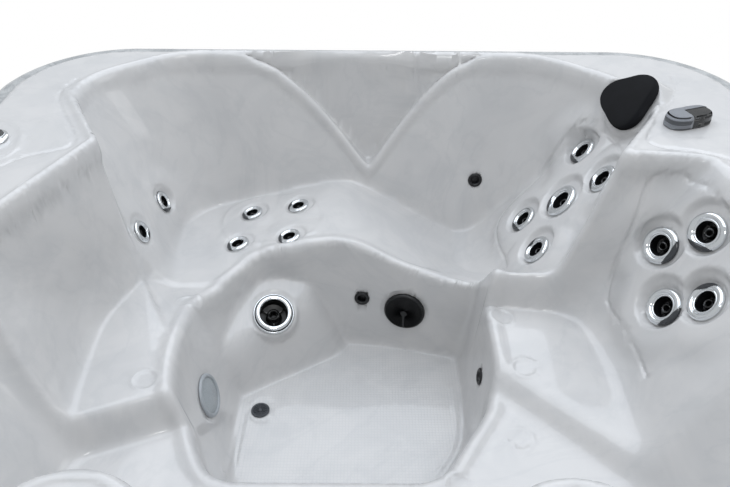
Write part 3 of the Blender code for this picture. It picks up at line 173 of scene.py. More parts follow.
@dataclass(frozen=True)
class TubForm:
    """The sizes of the moulded shell and the height of its face."""

    side: float = 2.13
    rim: float = 0.905
    corner_radius: float = 0.34
    roll_width: float = 0.045
    roll_drop: float = 0.020
    skirt: float = 0.060
    wall: float = 0.008
    floor: float = 0.145
    left_seat: float = 0.485
    right_seat: float = 0.450
    front_seat: float = 0.400
    foot_rest: float = 0.430
    pedestal: tuple[float, float, float] = (-0.289, 0.439, 0.330)
    pedestal_tilt: tuple[float, float] = (-0.179, 0.619)
    tight: float = 0.020
    firm: float = 0.030
    soft: float = 0.050
    wide: float = 0.060
    broad: float = 0.100
    corner: float = 0.190
    turn: float = 0.120
    well_broad: float = 0.240
    lounge_walls: tuple[DraftedWall, ...] = (
        DraftedWall((-0.600, 0.985), (-0.830, 0.800), 0.905, 3.0),
        DraftedWall((-0.820, 0.800), (-0.815, 0.550), 0.905, 2.2),
        DraftedWall((0.720, 0.800), (0.520, 0.965), 0.905, 3.5),
        DraftedWall((0.758, 0.600), (0.700, 0.820), 0.905, 4.0))
    lounge_edges: tuple[DraftedWall, ...] = (
        DraftedWall((-0.815, 0.667), (-0.678, 0.427), 0.905, 13.0),
        DraftedWall((0.631, 0.447), (0.775, 0.655), 0.905, 5.0),
        DraftedWall((-0.700, 0.470), (-0.400, 0.440), 0.430, 0.5))
    hip_walls: tuple[DraftedWall, DraftedWall] = (
        DraftedWall((0.100, 0.490), (0.500, 0.460), 0.410, 1.5),
        DraftedWall((-0.100, 0.000), (-0.100, 1.000), 0.410, 1.0))
    flank_walls: tuple[DraftedWall, DraftedWall] = (
        DraftedWall((0.564, 0.295), (0.330, 0.455), 0.450, 2.1),
        DraftedWall((0.445, 0.396), (0.416, 0.468), 0.450, 2.1))
    right_walls: tuple[DraftedWall, ...] = (
        DraftedWall((0.598, 0.225), (0.564, 0.295), 0.450, 1.9),
        DraftedWall((0.595, 0.000), (0.598, 0.225), 0.450, 1.42),
        DraftedWall((0.800, 0.375), (0.626, 0.394), 0.905, 6.0),
        DraftedWall((0.200, 0.500), (0.200, -0.500), 0.450, 3.0))
    left_walls: tuple[DraftedWall, ...] = (
        DraftedWall((-0.636, 0.433), (-0.690, 0.295), 0.485, 9.0),
        DraftedWall((-0.690, 0.295), (-0.712, 0.235), 0.485, 4.6),
        DraftedWall((-0.712, 0.235), (-0.716, 0.120), 0.485, 3.2),
        DraftedWall((-0.716, 0.120), (-0.698, 0.000), 0.485, 2.0),
        DraftedWall((-0.300, 0.440), (-0.636, 0.440), 0.485, 4.0),
        DraftedWall((-0.350, -0.500), (-0.350, 0.600), 0.485, 3.0))
    left_steps: tuple[DraftedWall, ...] = (
        DraftedWall((-0.462, -0.027), (-0.644, -0.101), 0.400, 2.2),
        DraftedWall((-0.690, -0.100), (-1.220, -0.950), 0.400, 1.45))
    right_steps: tuple[DraftedWall, ...] = (
        DraftedWall((0.505, -0.112), (0.322, 0.068), 0.400, 1.3),
        DraftedWall((0.774, -0.271), (0.574, -0.075), 0.400, 1.23))
    front_walls: tuple[DraftedWall, ...] = (
        DraftedWall((-0.950, 0.000), (-0.950, -0.600), 0.905, 1.9),
        DraftedWall((0.950, -0.600), (0.950, 0.000), 0.905, 1.9),
        DraftedWall((-0.600, -0.950), (0.600, -0.950), 0.905, 1.9),
        DraftedWall((-0.950, -0.560), (-0.560, -0.950), 0.905, 1.9),
        DraftedWall((0.560, -0.950), (0.950, -0.560), 0.905, 1.9))
    footwell_walls: tuple[DraftedWall, ...] = (
        DraftedWall((-0.483, 0.350), (-0.483, 0.000), 0.450, 3.3),
        DraftedWall((-0.335, 0.545), (-0.465, 0.400), 0.450, 4.0),
        DraftedWall((0.000, 0.545), (-0.300, 0.545), 0.450, 8.0),
        DraftedWall((0.292, 0.470), (-0.098, 0.560), 0.450, 10.0),
        DraftedWall((0.314, 0.000), (0.314, 0.400), 0.450, 7.0),
        DraftedWall((0.179, -0.162), (0.300, 0.030), 0.450, 4.0),
        DraftedWall((-0.300, -0.190), (0.100, -0.190), 0.450, 4.0),
        DraftedWall((-0.488, 0.023), (-0.394, -0.157), 0.450, 3.5))
    pedestal_walls: tuple[DraftedWall, ...] = (
        DraftedWall((-0.030, 0.505), (-0.400, 0.275), 0.145, 2.8),
        DraftedWall((-0.050, 0.600), (-0.150, 0.300), 0.145, 2.2))
    headrest_tips: tuple[tuple[float, float], ...] = ((-0.415, -0.494), (0.265, -0.502))
    headrest_radius: float = 0.120
    headrest_gradient: float = 5.0
    arch_middle: float = -0.0128
    arch_valley: float = 0.560
    arch_valley_radius: float = 0.018
    arch_gradients: tuple[float, float] = (1.50, 1.70)
    arch_spans: tuple[float, float] = (0.487, 0.436)
    bay_gradient: float = 3.9
    bay_line: float = 0.983
    setback_gradient: float = 9.0
    setback_line: float = 0.9905
    lounge_seat: float = 0.322
    calf_slope: tuple[float, float, float] = (0.448, 0.23, -0.4196)
    thigh_slope: tuple[float, float, float] = (0.506, -0.535, -0.0405)
    lumbar_slope: tuple[float, float, float] = (0.520, 1.22, 0.4601)
    lumbar_twist: tuple[float, float] = (0.10, 0.5006)
    hip_rise: float = 0.060
    hip_middle: float = 0.279
    hip_spread: float = 0.1598
    hip_line: float = 0.7199
    hip_run: float = 0.2002

    def arch(self, x: Array) -> Array:
        """Return the height of the ledge that the two arches draw on the back wall.

        Args:
            x: the points' first coordinates.

        Returns:
            The height of every point.
        """
        offset = x - self.arch_middle
        reach = np.hypot(offset, self.arch_valley_radius) - self.arch_valley_radius
        gradient = np.where(offset < 0.0, *self.arch_gradients)
        span = np.where(offset < 0.0, *self.arch_spans)
        capped = np.minimum(reach, span)
        return self.arch_valley + gradient * (capped - capped ** 2 / (2.0 * span))

    def bay(self, y: Array) -> Array:
        """Return the height of the back wall under the arches."""
        return self.rim + self.bay_gradient * (y - self.bay_line)

    def lounge(self, x: Array, y: Array) -> Array:
        """Return the lounger: foot rest, raised calves and knees, dished seat and sloping back.

        Args:
            x: the points' first coordinates.
            y: their second coordinates.

        Returns:
            The height of every point.
        """
        calf, thigh, lumbar = (level + gradient * (x - start) for level, gradient, start
                               in (self.calf_slope, self.thigh_slope, self.lumbar_slope))
        twist, twist_line = self.lumbar_twist
        lumbar = lumbar - twist * (y - twist_line)
        base = soft_max(np.full_like(x, self.foot_rest), calf, self.tight)
        base = soft_max(soft_min(base, thigh, self.wide), np.full_like(x, self.lounge_seat), self.wide)
        side = np.clip((self.hip_line - y) / self.hip_run, 0.0, 1.0) ** 2
        base = base + self.hip_rise * side * np.exp(-((x - self.hip_middle) / self.hip_spread) ** 2)
        base = soft_max(base, lumbar, self.broad)
        setback = self.rim + self.setback_gradient * (y - self.setback_line)
        back = soft_max(soft_min(self.bay(y), self.arch(x), self.tight), setback, self.firm)
        walls = soft_max(back, ring_height(self.lounge_walls, x, y, self.corner), self.corner)
        walls = soft_max(walls, ring_height(self.lounge_edges, x, y, self.soft), self.turn)
        hip = soft_min(self.hip_walls[0].height(x, y), self.hip_walls[1].height(x, y), self.soft)
        return soft_max(base, soft_max(walls, hip, self.soft), self.firm)

    def seat(self, walls: Sequence[DraftedWall], level: float, x: Array, y: Array) -> Array:
        """Return a side seat: a level seat inside its own walls and the walls under the rim.

        Args:
            walls: the seat's own walls.
            level: the height of its face.
            x: the points' first coordinates.
            y: their second coordinates.

        Returns:
            The height of every point.
        """
        around = ring_height(self.front_walls, x, y, self.corner)
        height = soft_max(ring_height(walls, x, y, self.turn), around, self.broad)
        return soft_max(np.full_like(x, level), height, self.soft)

    def front(self, x: Array, y: Array) -> Array:
        """Return the lower front bench with its steps up to the side seats.

        Args:
            x: the points' first coordinates.
            y: their second coordinates.

        Returns:
            The height of every point.
        """
        left = ring_height(self.left_steps, x, y, self.soft)
        right = ring_height(self.right_steps, x, y, self.soft)
        around = ring_height(self.front_walls, x, y, self.corner)
        share = ease(x, -0.05, 0.05)
        walls = soft_max(left * (1.0 - share) + right * share, around, self.broad)
        return soft_max(np.full_like(x, self.front_seat), walls, self.firm)

    def headrests(self, x: Array, y: Array) -> Array:
        """Return the two headrests that reach inwards from the front rim.

        Args:
            x: the points' first coordinates.
            y: their second coordinates.

        Returns:
            The height of every point.
        """
        height = np.full_like(x, -self.rim)
        for tip in self.headrest_tips:
            along = np.maximum(y - tip[1] + self.headrest_radius, 0.0)
            reach = np.hypot(np.abs(x - tip[0]), along) - self.headrest_radius
            height = np.maximum(height, self.rim - self.headrest_gradient * reach)
        return height

    def footwell(self, x: Array, y: Array) -> Array:
        """Return the footwell with the pedestal that carries the foot jet.

        Args:
            x: the points' first coordinates.
            y: their second coordinates.

        Returns:
            The height of every point.
        """
        walls = ring_height(self.footwell_walls, x, y, self.well_broad)
        well = soft_max(np.full_like(x, self.floor), walls, self.wide)
        px, py, pz = self.pedestal
        top = pz + self.pedestal_tilt[0] * (x - px) + self.pedestal_tilt[1] * (y - py)
        for wall in self.pedestal_walls:
            top = soft_min(top, wall.height(x, y), self.wide)
        return soft_max(well, top, self.firm)

    def seats(self, x: Array, y: Array) -> Array:
        """Return the seats alone, before the footwell and the rim cut them.

        Args:
            x: the points' first coordinates.
            y: their second coordinates.

        Returns:
            The height of every point.
        """
        height = soft_min(self.lounge(x, y), self.seat(self.left_walls, self.left_seat, x, y), self.broad)
        flank = soft_min(self.flank_walls[0].height(x, y), self.flank_walls[1].height(x, y), self.wide)
        right = soft_max(self.seat(self.right_walls, self.right_seat, x, y), flank, self.soft)
        height = soft_min(height, right, self.turn)
        return soft_min(height, self.front(x, y), self.firm)

    def basin(self, x: Array, y: Array) -> Array:
        """Return the basin's height, which runs on above the rim outside its edge."""
        height = soft_min(self.seats(x, y), self.footwell(x, y), self.firm)
        return soft_max(height, self.headrests(x, y), self.broad)

    def edge_distance(self, x: Array, y: Array) -> Array:
        """Return the distance inwards from the rounded square outline of the rim.

        Args:
            x: the points' first coordinates.
            y: their second coordinates.

        Returns:
            The distance of every point, negative outside.
        """
        flat = self.side / 2.0 - self.corner_radius
        across, along = np.abs(x) - flat, np.abs(y) - flat
        outside = np.hypot(np.maximum(across, 0.0), np.maximum(along, 0.0))
        return self.corner_radius - outside - np.minimum(np.maximum(across, along), 0.0)

    def height(self, x: Array, y: Array) -> Array:
        """Return the height of the shell's face over plan points.

        Args:
            x: the points' first coordinates.
            y: their second coordinates.

        Returns:
            The height of every point.
        """
        height = soft_min(self.basin(x, y), np.full_like(x, self.rim), self.firm)
        roll = np.clip(1.0 - self.edge_distance(x, y) / self.roll_width, 0.0, 1.0)
        return height - self.roll_drop * roll ** 2

    def normals(self, x: Array, y: Array, reach: float = 0.0015) -> Array:
        """Return the face's outward normals over plan points.

        Args:
            x: the points' first coordinates.
            y: their second coordinates.
            reach: half the step of the slope.

        Returns:
            A row of three numbers per point.
        """
        slope_x = (self.height(x + reach, y) - self.height(x - reach, y)) / (2.0 * reach)
        slope_y = (self.height(x, y + reach) - self.height(x, y - reach)) / (2.0 * reach)
        normal = np.stack([-slope_x, -slope_y, np.ones_like(x)], -1)
        return normal / np.linalg.norm(normal, axis=1, keepdims=True)

    def contour_distance(self, height: Callable[[Array, Array], Array], x: Array,
                         y: Array, reach: float = 0.002) -> Array:
        """Return the plan distance to the line where a height function is zero.

        Args:
            height: the function of plan points.
            x: the points' first coordinates.
            y: their second coordinates.
            reach: half the step of the gradient.

        Returns:
            The signed distance, positive where the function is.
        """
        slope_x = (height(x + reach, y) - height(x - reach, y)) / (2.0 * reach)
        slope_y = (height(x, y + reach) - height(x, y - reach)) / (2.0 * reach)
        return height(x, y) / np.clip(np.hypot(slope_x, slope_y), 0.2, 16.0)

    def seat_frame(self, place: tuple[float, float], reach: float, aim: tuple | None = None) -> Matrix:
        """Return the frame of a fitting: origin on the face and Z out of it.

        Args:
            place: the fitting's plan place.
            reach: half the step over which the face's slope is read.
            aim: the direction that the fitting faces, where the slope doesn't give it.

        Returns:
            The frame's matrix.
        """
        x, y = (np.array([value]) for value in place)
        if aim is None:
            slope_x = (self.height(x + reach, y) - self.height(x - reach, y))[0] / (2.0 * reach)
            slope_y = (self.height(x, y + reach) - self.height(x, y - reach))[0] / (2.0 * reach)
            aim = (-slope_x, -slope_y, 1.0)
        turn = Vector(aim).to_track_quat("Z", "Y").to_matrix().to_4x4()
        return Matrix.Translation((x[0], y[0], self.height(x, y)[0])) @ turn


# Finishes

def linear(code: str) -> tuple[float, float, float, float]:
    """Return an sRGB hex colour as linear values with full cover.

    Args:
        code: the colour as #rrggbb.

    Returns:
        Red, green, blue and a cover of 1.
    """
    values = []
    for start in (1, 3, 5):
        share = int(code[start:start + 2], 16) / 255.0
        values.append(share / 12.92 if share <= 0.04045 else ((share + 0.055) / 1.055) ** 2.4)
    return (*values, 1.0)


def per_metre(millimetres: float) -> float:
    """Return the texture scale at which one cell has this size."""
    return 1000.0 / millimetres


@dataclass
class Paint:
    """A node tree in the making: its main shader, and the socket that gives the place on the object."""

    tree: bpy.types.NodeTree
    shader: bpy.types.Node
    place: bpy.types.NodeSocket | None = None

    def add(self, kind: str, settings: dict | None = None, inputs: dict | None = None) -> bpy.types.Node:
        """Add a node with its settings, its input values and its links.

        Args:
            kind: the node's type name.
            settings: properties of the node.
            inputs: values or output sockets, by the input's name or number.

        Returns:
            The new node.
        """
        node = self.tree.nodes.new(kind)
        for name, value in (settings or {}).items():
            setattr(node, name, value)
        for name, value in (inputs or {}).items():
            if isinstance(value, bpy.types.NodeSocket):
                self.tree.links.new(value, node.inputs[name])
            else:
                node.inputs[name].default_value = value
        return node

    def link(self, socket: bpy.types.NodeSocket, name: str) -> None:
        """Link a socket to one of the shader's inputs."""
        self.tree.links.new(socket, self.shader.inputs[name])


@dataclass(frozen=True)
class Finish:
    """A surface finish: its base values, and the pattern that a subclass adds."""

    name: str
    colour: str
    roughness: float
    metallic: float = 0.0
    coat: float = 0.0
    coat_roughness: float = 0.05

    def material(self) -> bpy.types.Material:
        """Return this finish's material, made once.

        Returns:
            The material.
        """
        made = bpy.data.materials.get(self.name)
        if made is not None:
            return made
        made = bpy.data.materials.new(self.name)
        made.use_nodes = True
        paint = Paint(made.node_tree, made.node_tree.nodes["Principled BSDF"])
        for name, value in (("Base Color", linear(self.colour)), ("Roughness", self.roughness),
                            ("Metallic", self.metallic), ("Coat Weight", self.coat),
                            ("Coat Roughness", self.coat_roughness)):
            paint.shader.inputs[name].default_value = value
        paint.place = paint.add("ShaderNodeTexCoord").outputs["Object"]
        self.pattern(paint)
        return made

    def pattern(self, paint: Paint) -> None:
        """Add the finish's own pattern to its shader."""


@dataclass(frozen=True)
class PearlAcrylic(Finish):
    """Cast acrylic sheet, drawn into the mould: cloudy pearl pigment under a clear glossy face.

    The flakes line up in soft clouds about a hand wide, with thin veins between them. The floor of
    the footwell has a fine anti-slip grid pressed into it, whose lines are drawn darker as painted shade.
    """

    shade: str = "#c3c8cc"
    cloud_mm: float = 170.0
    vein_mm: float = 420.0
    grid_mm: float = 9.0
    floor: float = 0.145

    def pattern(self, paint: Paint) -> None:
        """Add clouds, veins and the floor's pressed grid, with painted shade in the grid's lines.

        Args:
            paint: the material in the making.
        """
        clouds = paint.add("ShaderNodeTexNoise", None, {
            "Vector": paint.place, "Scale": per_metre(self.cloud_mm), "Detail": 5.0, "Roughness": 0.55,
            "Distortion": 0.9})
        soft = paint.add("ShaderNodeMapRange", {"interpolation_type": "SMOOTHSTEP"}, {
            "Value": clouds.outputs[0], "From Min": 0.36, "From Max": 0.68, "To Max": 0.75})
        veins = paint.add("ShaderNodeTexNoise", None, {
            "Vector": paint.place, "Scale": per_metre(self.vein_mm), "Detail": 7.0, "Roughness": 0.6,
            "Distortion": 2.2})
        ridge = paint.add("ShaderNodeMath", {"operation": "SUBTRACT"}, {
            0: veins.outputs[0], 1: 0.5})
        width = paint.add("ShaderNodeMath", {"operation": "ABSOLUTE"}, {0: ridge.outputs[0]})
        thin = paint.add("ShaderNodeMapRange", {"interpolation_type": "SMOOTHSTEP"}, {
            "Value": width.outputs[0], "From Min": 0.0, "From Max": 0.045, "To Min": 0.35, "To Max": 0.0})
        shade = paint.add("ShaderNodeMath", {"operation": "ADD", "use_clamp": True}, {
            0: soft.outputs[0], 1: thin.outputs[0]})
        mixed = paint.add("ShaderNodeMix", {"data_type": "RGBA"}, {
            0: shade.outputs[0], 6: linear(self.colour), 7: linear(self.shade)})
        split = paint.add("ShaderNodeSeparateXYZ", None, {0: paint.place})
        lines = []
        for axis in (0, 1):
            cell = paint.add("ShaderNodeMath", {"operation": "PINGPONG"}, {
                0: split.outputs[axis], 1: self.grid_mm / 2000.0})
            lines.append(paint.add("ShaderNodeMapRange", {"interpolation_type": "SMOOTHSTEP"}, {
                "Value": cell.outputs[0], "From Min": 0.0, "From Max": self.grid_mm / 6000.0,
                "To Min": 1.0, "To Max": 0.0}).outputs[0])
        grid = paint.add("ShaderNodeMath", {"operation": "MAXIMUM"}, {0: lines[0], 1: lines[1]})
        level = paint.add("ShaderNodeMapRange", {"interpolation_type": "SMOOTHSTEP"}, {
            "Value": split.outputs[2], "From Min": self.floor + 0.0015, "From Max": self.floor + 0.004,
            "To Min": 1.0, "To Max": 0.0})
        pressed = paint.add("ShaderNodeMath", {"operation": "MULTIPLY"}, {
            0: grid.outputs[0], 1: level.outputs[0]})
        # Painted shade: the pressed grid's lines are drawn darker, standing in for the shade in their
        # grooves.
        grid_painted_shade = paint.add("ShaderNodeMix", {"data_type": "RGBA"}, {
            0: paint.add("ShaderNodeMath", {"operation": "MULTIPLY"}, {
                0: pressed.outputs[0], 1: 0.22}).outputs[0],
            6: mixed.outputs[2], 7: linear("#a9afb4")})
        paint.link(grid_painted_shade.outputs[2], "Base Color")
        gloss = paint.add("ShaderNodeMapRange", None, {
            "Value": clouds.outputs[0], "To Min": self.roughness - 0.05, "To Max": self.roughness + 0.07})
        paint.link(gloss.outputs[0], "Roughness")
        peel = paint.add("ShaderNodeTexNoise", None, {
            "Vector": paint.place, "Scale": per_metre(38.0), "Detail": 2.0})
        sheet = paint.add("ShaderNodeBump", None, {
            "Height": peel.outputs[0], "Strength": 0.10, "Distance": 0.0016})
        bump = paint.add("ShaderNodeBump", {"invert": True}, {
            "Height": pressed.outputs[0], "Strength": 0.5, "Distance": 0.0008,
            "Normal": sheet.outputs[0]})
        paint.link(bump.outputs[0], "Normal")
        paint.link(sheet.outputs[0], "Coat Normal")


@dataclass(frozen=True)
class MouldedPlastic(Finish):
    """Injection-moulded ABS or polypropylene: an even colour with the mould's fine spark grain.

    The real grain is about 0.4 mm and is drawn at grain_mm, so that it shows.
    """

    grain_mm: float = 1.4
    grain_depth: float = 0.00008
    tone: float = 0.12

    def pattern(self, paint: Paint) -> None:
        """Add the spark grain and a slight drift of tone and gloss.

        Args:
            paint: the material in the making.
        """
        grain = paint.add("ShaderNodeTexNoise", None, {
            "Vector": paint.place, "Scale": per_metre(self.grain_mm), "Detail": 3.0})
        drift = paint.add("ShaderNodeTexNoise", None, {
            "Vector": paint.place, "Scale": per_metre(60.0), "Detail": 3.0})
        colour = linear(self.colour)
        darker = tuple(value * (1.0 - self.tone) for value in colour[:3])
        lighter = tuple(min(1.0, value * (1.0 + self.tone) + 0.002) for value in colour[:3])
        mixed = paint.add("ShaderNodeMix", {"data_type": "RGBA"}, {
            0: drift.outputs[0], 6: (*darker, 1.0), 7: (*lighter, 1.0)})
        paint.link(mixed.outputs[2], "Base Color")
        gloss = paint.add("ShaderNodeMapRange", None, {
            "Value": drift.outputs[0], "To Min": self.roughness * 0.85, "To Max": self.roughness * 1.15})
        paint.link(gloss.outputs[0], "Roughness")
        bump = paint.add("ShaderNodeBump", None, {
            "Height": grain.outputs[0], "Strength": 0.6, "Distance": self.grain_depth})
        paint.link(bump.outputs[0], "Normal")


@dataclass(frozen=True)
class ChromePlate(Finish):
    """Chrome plate on moulded ABS: a bright mirror with the faint ripple of the plastic below."""

    ripple_mm: float = 14.0

    def pattern(self, paint: Paint) -> None:
        """Add the ripple and the dull film of water spots.

        Args:
            paint: the material in the making.
        """
        ripple = paint.add("ShaderNodeTexNoise", None, {
            "Vector": paint.place, "Scale": per_metre(self.ripple_mm), "Detail": 1.5})
        bump = paint.add("ShaderNodeBump", None, {
            "Height": ripple.outputs[0], "Strength": 0.25, "Distance": 0.0004})
        paint.link(bump.outputs[0], "Normal")
        spots = paint.add("ShaderNodeTexNoise", None, {
            "Vector": paint.place, "Scale": per_metre(5.0), "Detail": 4.0, "Roughness": 0.7})
        film = paint.add("ShaderNodeMapRange", None, {
            "Value": spots.outputs[0], "From Min": 0.45, "From Max": 0.75,
            "To Min": self.roughness, "To Max": self.roughness + 0.10})
        paint.link(film.outputs[0], "Roughness")


@dataclass(frozen=True)
class FoamSkin(Finish):
    """Integral-skin polyurethane foam: a soft dark skin with a fine leathery grain."""

    grain_mm: float = 2.2

    def pattern(self, paint: Paint) -> None:
        """Add the leathery grain and a slight greying that drifts over the skin.

        Args:
            paint: the material in the making.
        """
        grain = paint.add("ShaderNodeTexVoronoi", {"feature": "F1"}, {
            "Vector": paint.place, "Scale": per_metre(self.grain_mm), "Randomness": 1.0})
        drift = paint.add("ShaderNodeTexNoise", None, {
            "Vector": paint.place, "Scale": per_metre(45.0), "Detail": 4.0})
        mixed = paint.add("ShaderNodeMix", {"data_type": "RGBA"}, {
            0: drift.outputs[0], 6: linear(self.colour), 7: linear("#141519")})
        paint.link(mixed.outputs[2], "Base Color")
        paint.shader.inputs["Specular IOR Level"].default_value = 0.16
        bump = paint.add("ShaderNodeBump", None, {
            "Height": grain.outputs[0], "Strength": 0.25, "Distance": 0.00025})
        paint.link(bump.outputs[0], "Normal")


@dataclass(frozen=True)
class FrostedLens(Finish):
    """Frosted polycarbonate lens: milky, with the blur of its moulded prisms."""

    def pattern(self, paint: Paint) -> None:
        """Add the speckle of the frosting.

        Args:
            paint: the material in the making.
        """
        speckle = paint.add("ShaderNodeTexNoise", None, {
            "Vector": paint.place, "Scale": per_metre(2.5), "Detail": 3.0})
        mixed = paint.add("ShaderNodeMix", {"data_type": "RGBA"}, {
            0: speckle.outputs[0], 6: linear(self.colour), 7: linear("#b7bdc1")})
        paint.link(mixed.outputs[2], "Base Color")
        bump = paint.add("ShaderNodeBump", None, {
            "Height": speckle.outputs[0], "Strength": 0.3, "Distance": 0.0002})
        paint.link(bump.outputs[0], "Normal")


@dataclass(frozen=True)
class PolymerBoard(Finish):
    """Extruded polymer cladding board with an embossed grain that runs up the panel."""

    grain_mm: float = 5.0

    def pattern(self, paint: Paint) -> None:
        """Add long upright grain and board-to-board drift.

        Args:
            paint: the material in the making.
        """
        stretched = paint.add("ShaderNodeMapping", None, {
            "Vector": paint.place, "Scale": (1.0, 1.0, 0.06)})
        grain = paint.add("ShaderNodeTexNoise", None, {
            "Vector": stretched.outputs[0], "Scale": per_metre(self.grain_mm), "Detail": 6.0,
            "Roughness": 0.6, "Distortion": 0.6})
        mixed = paint.add("ShaderNodeMix", {"data_type": "RGBA"}, {
            0: grain.outputs[0], 6: linear(self.colour), 7: linear("#9a9895")})
        paint.link(mixed.outputs[2], "Base Color")
        bump = paint.add("ShaderNodeBump", None, {
            "Height": grain.outputs[0], "Strength": 0.5, "Distance": 0.0006})
        paint.link(bump.outputs[0], "Normal")


@dataclass(frozen=True)
class ZincCoat(Finish):
    """Hot-dip galvanised steel: bright zinc in spangles of about a thumbnail."""

    spangle_mm: float = 14.0

    def pattern(self, paint: Paint) -> None:
        """Add the spangles.

        Args:
            paint: the material in the making.
        """
        spangle = paint.add("ShaderNodeTexVoronoi", None, {
            "Vector": paint.place, "Scale": per_metre(self.spangle_mm)})
        grey = paint.add("ShaderNodeRGBToBW", None, {0: spangle.outputs["Color"]})
        mixed = paint.add("ShaderNodeMix", {"data_type": "RGBA"}, {
            0: grey.outputs[0], 6: linear(self.colour), 7: linear("#c8ccd0")})
        paint.link(mixed.outputs[2], "Base Color")
        rough = paint.add("ShaderNodeMapRange", None, {
            "Value": grey.outputs[0], "To Min": self.roughness - 0.12, "To Max": self.roughness + 0.12})
        paint.link(rough.outputs[0], "Roughness")


@dataclass(frozen=True)
class PleatedPaper(Finish):
    """Spun polyester filter paper in upright pleats."""

    pleat_mm: float = 6.0

    def pattern(self, paint: Paint) -> None:
        """Add the shade between the pleats.

        Args:
            paint: the material in the making.
        """
        pleats = paint.add("ShaderNodeTexWave", {"bands_direction": "DIAGONAL"}, {
            "Vector": paint.place, "Scale": per_metre(self.pleat_mm) / TAU, "Distortion": 0.4})
        mixed = paint.add("ShaderNodeMix", {"data_type": "RGBA"}, {
            0: pleats.outputs["Fac"], 6: linear("#8f9aa3"), 7: linear(self.colour)})
        paint.link(mixed.outputs[2], "Base Color")


ACRYLIC = PearlAcrylic("cast_acrylic_pearl", "#cbcac9", 0.34, coat=0.85, coat_roughness=0.06,
                       shade="#c1c1c1")
# The outer roll and flange get a darker acrylic as painted shade; its smaller, stronger clouds and veins are
# the sheet's own pattern.
SHADED_EDGE_ACRYLIC = PearlAcrylic("cast_acrylic_rolled_edge_painted_shade", "#b3b5b5", 0.34, coat=0.5, coat_roughness=0.12,
                            shade="#8f9293", cloud_mm=60.0, vein_mm=120.0)
CHROME = ChromePlate("chrome_plated_abs", "#e3e6e8", 0.045, metallic=1.0)
SMOKED = MouldedPlastic("smoked_abs_insert", "#26292d", 0.20, coat=0.6, coat_roughness=0.08,
                        grain_depth=0.00002)
BLACK_ABS = MouldedPlastic("black_moulded_abs", "#0b0c0e", 0.34)
GLOSS_BLACK = MouldedPlastic("gloss_black_abs", "#08090a", 0.22, coat=0.3, coat_roughness=0.06,
                             grain_depth=0.00001)
CAP_ABS = MouldedPlastic("light_grey_moulded_abs", "#787b80", 0.38, coat=0.15, coat_roughness=0.25)
GREY_ABS = MouldedPlastic("grey_moulded_abs", "#9da2a6", 0.34, coat=0.4, coat_roughness=0.15)
DARK_ABS = MouldedPlastic("dark_grey_moulded_abs", "#3a3d42", 0.42)
PIPE_PVC = MouldedPlastic("white_rigid_pvc", "#d9dbdc", 0.40, grain_depth=0.00002)
RUBBER = MouldedPlastic("button_rubber", "#2a2c30", 0.62, grain_depth=0.00012)
FOAM = FoamSkin("integral_skin_foam", "#07080a", 0.30)
LENS = FrostedLens("frosted_polycarbonate", "#7f8689", 0.34, coat=0.5, coat_roughness=0.15)
BOARD = PolymerBoard("embossed_polymer_board", "#6f6d6a", 0.55)
ZINC = ZincCoat("galvanised_steel", "#9ba0a4", 0.42, metallic=1.0)
PAPER = PleatedPaper("pleated_polyester_paper", "#dfe3e6", 0.85)
STAINLESS = ChromePlate("stainless_screw", "#b9bcbf", 0.22, metallic=1.0)


# Shapes

def spun(profile: Sequence[tuple[float, float]], steps: int = 56) -> bmesh.types.BMesh:
    """Return a solid of revolution about Z from a profile of radius and height pairs.

    Args:
        profile: the pairs, from one end of the section to the other.
        steps: the faces in one turn.

    Returns:
        The closed mesh.
    """
    shape = bmesh.new()
    verts = [shape.verts.new((radius, 0.0, height)) for radius, height in profile]
    edges = [shape.edges.new(pair) for pair in zip(verts, verts[1:])]
    bmesh.ops.spin(shape, geom=verts + edges, axis=(0.0, 0.0, 1.0), cent=(0.0, 0.0, 0.0), angle=TAU,
                   steps=steps, use_merge=True)
    bmesh.ops.remove_doubles(shape, verts=shape.verts, dist=0.000002)
    bmesh.ops.recalc_face_normals(shape, faces=shape.faces)
    return shape


def eased_profile(profile: Sequence[tuple[float, float]], scale: float,
                  rounds: int = 2) -> list[tuple[float, float]]:
    """Return a profile at its real size with its corners rounded, its two ends kept."""
    path = rounded_path(profile, False, rounds)
    return [(float(point[0]) * scale, float(point[1]) * scale) for point in path]


def facing(place: Sequence[float], axis: Sequence[float]) -> Matrix:
    """Return a frame with Z along an axis and Y as far up as that allows.

    Args:
        place: the frame's origin.
        axis: the direction of its Z.

    Returns:
        The frame's matrix.
    """
    out = Vector(axis).normalized()
    up = Vector((0.0, 0.0, 1.0)) - out * out.z
    up = up.normalized() if up.length > 0.05 else Vector((0.0, 1.0, 0.0))
    side = up.cross(out)
    turn = Matrix((side, up, out)).transposed().to_4x4()
    return Matrix.Translation(Vector(place)) @ turn


def lifted(place: Matrix, height: float = GAP) -> Matrix:
    """Return a frame that stands a little off its seat, so that the faces don't touch."""
    return place @ Matrix.Translation((0.0, 0.0, height))


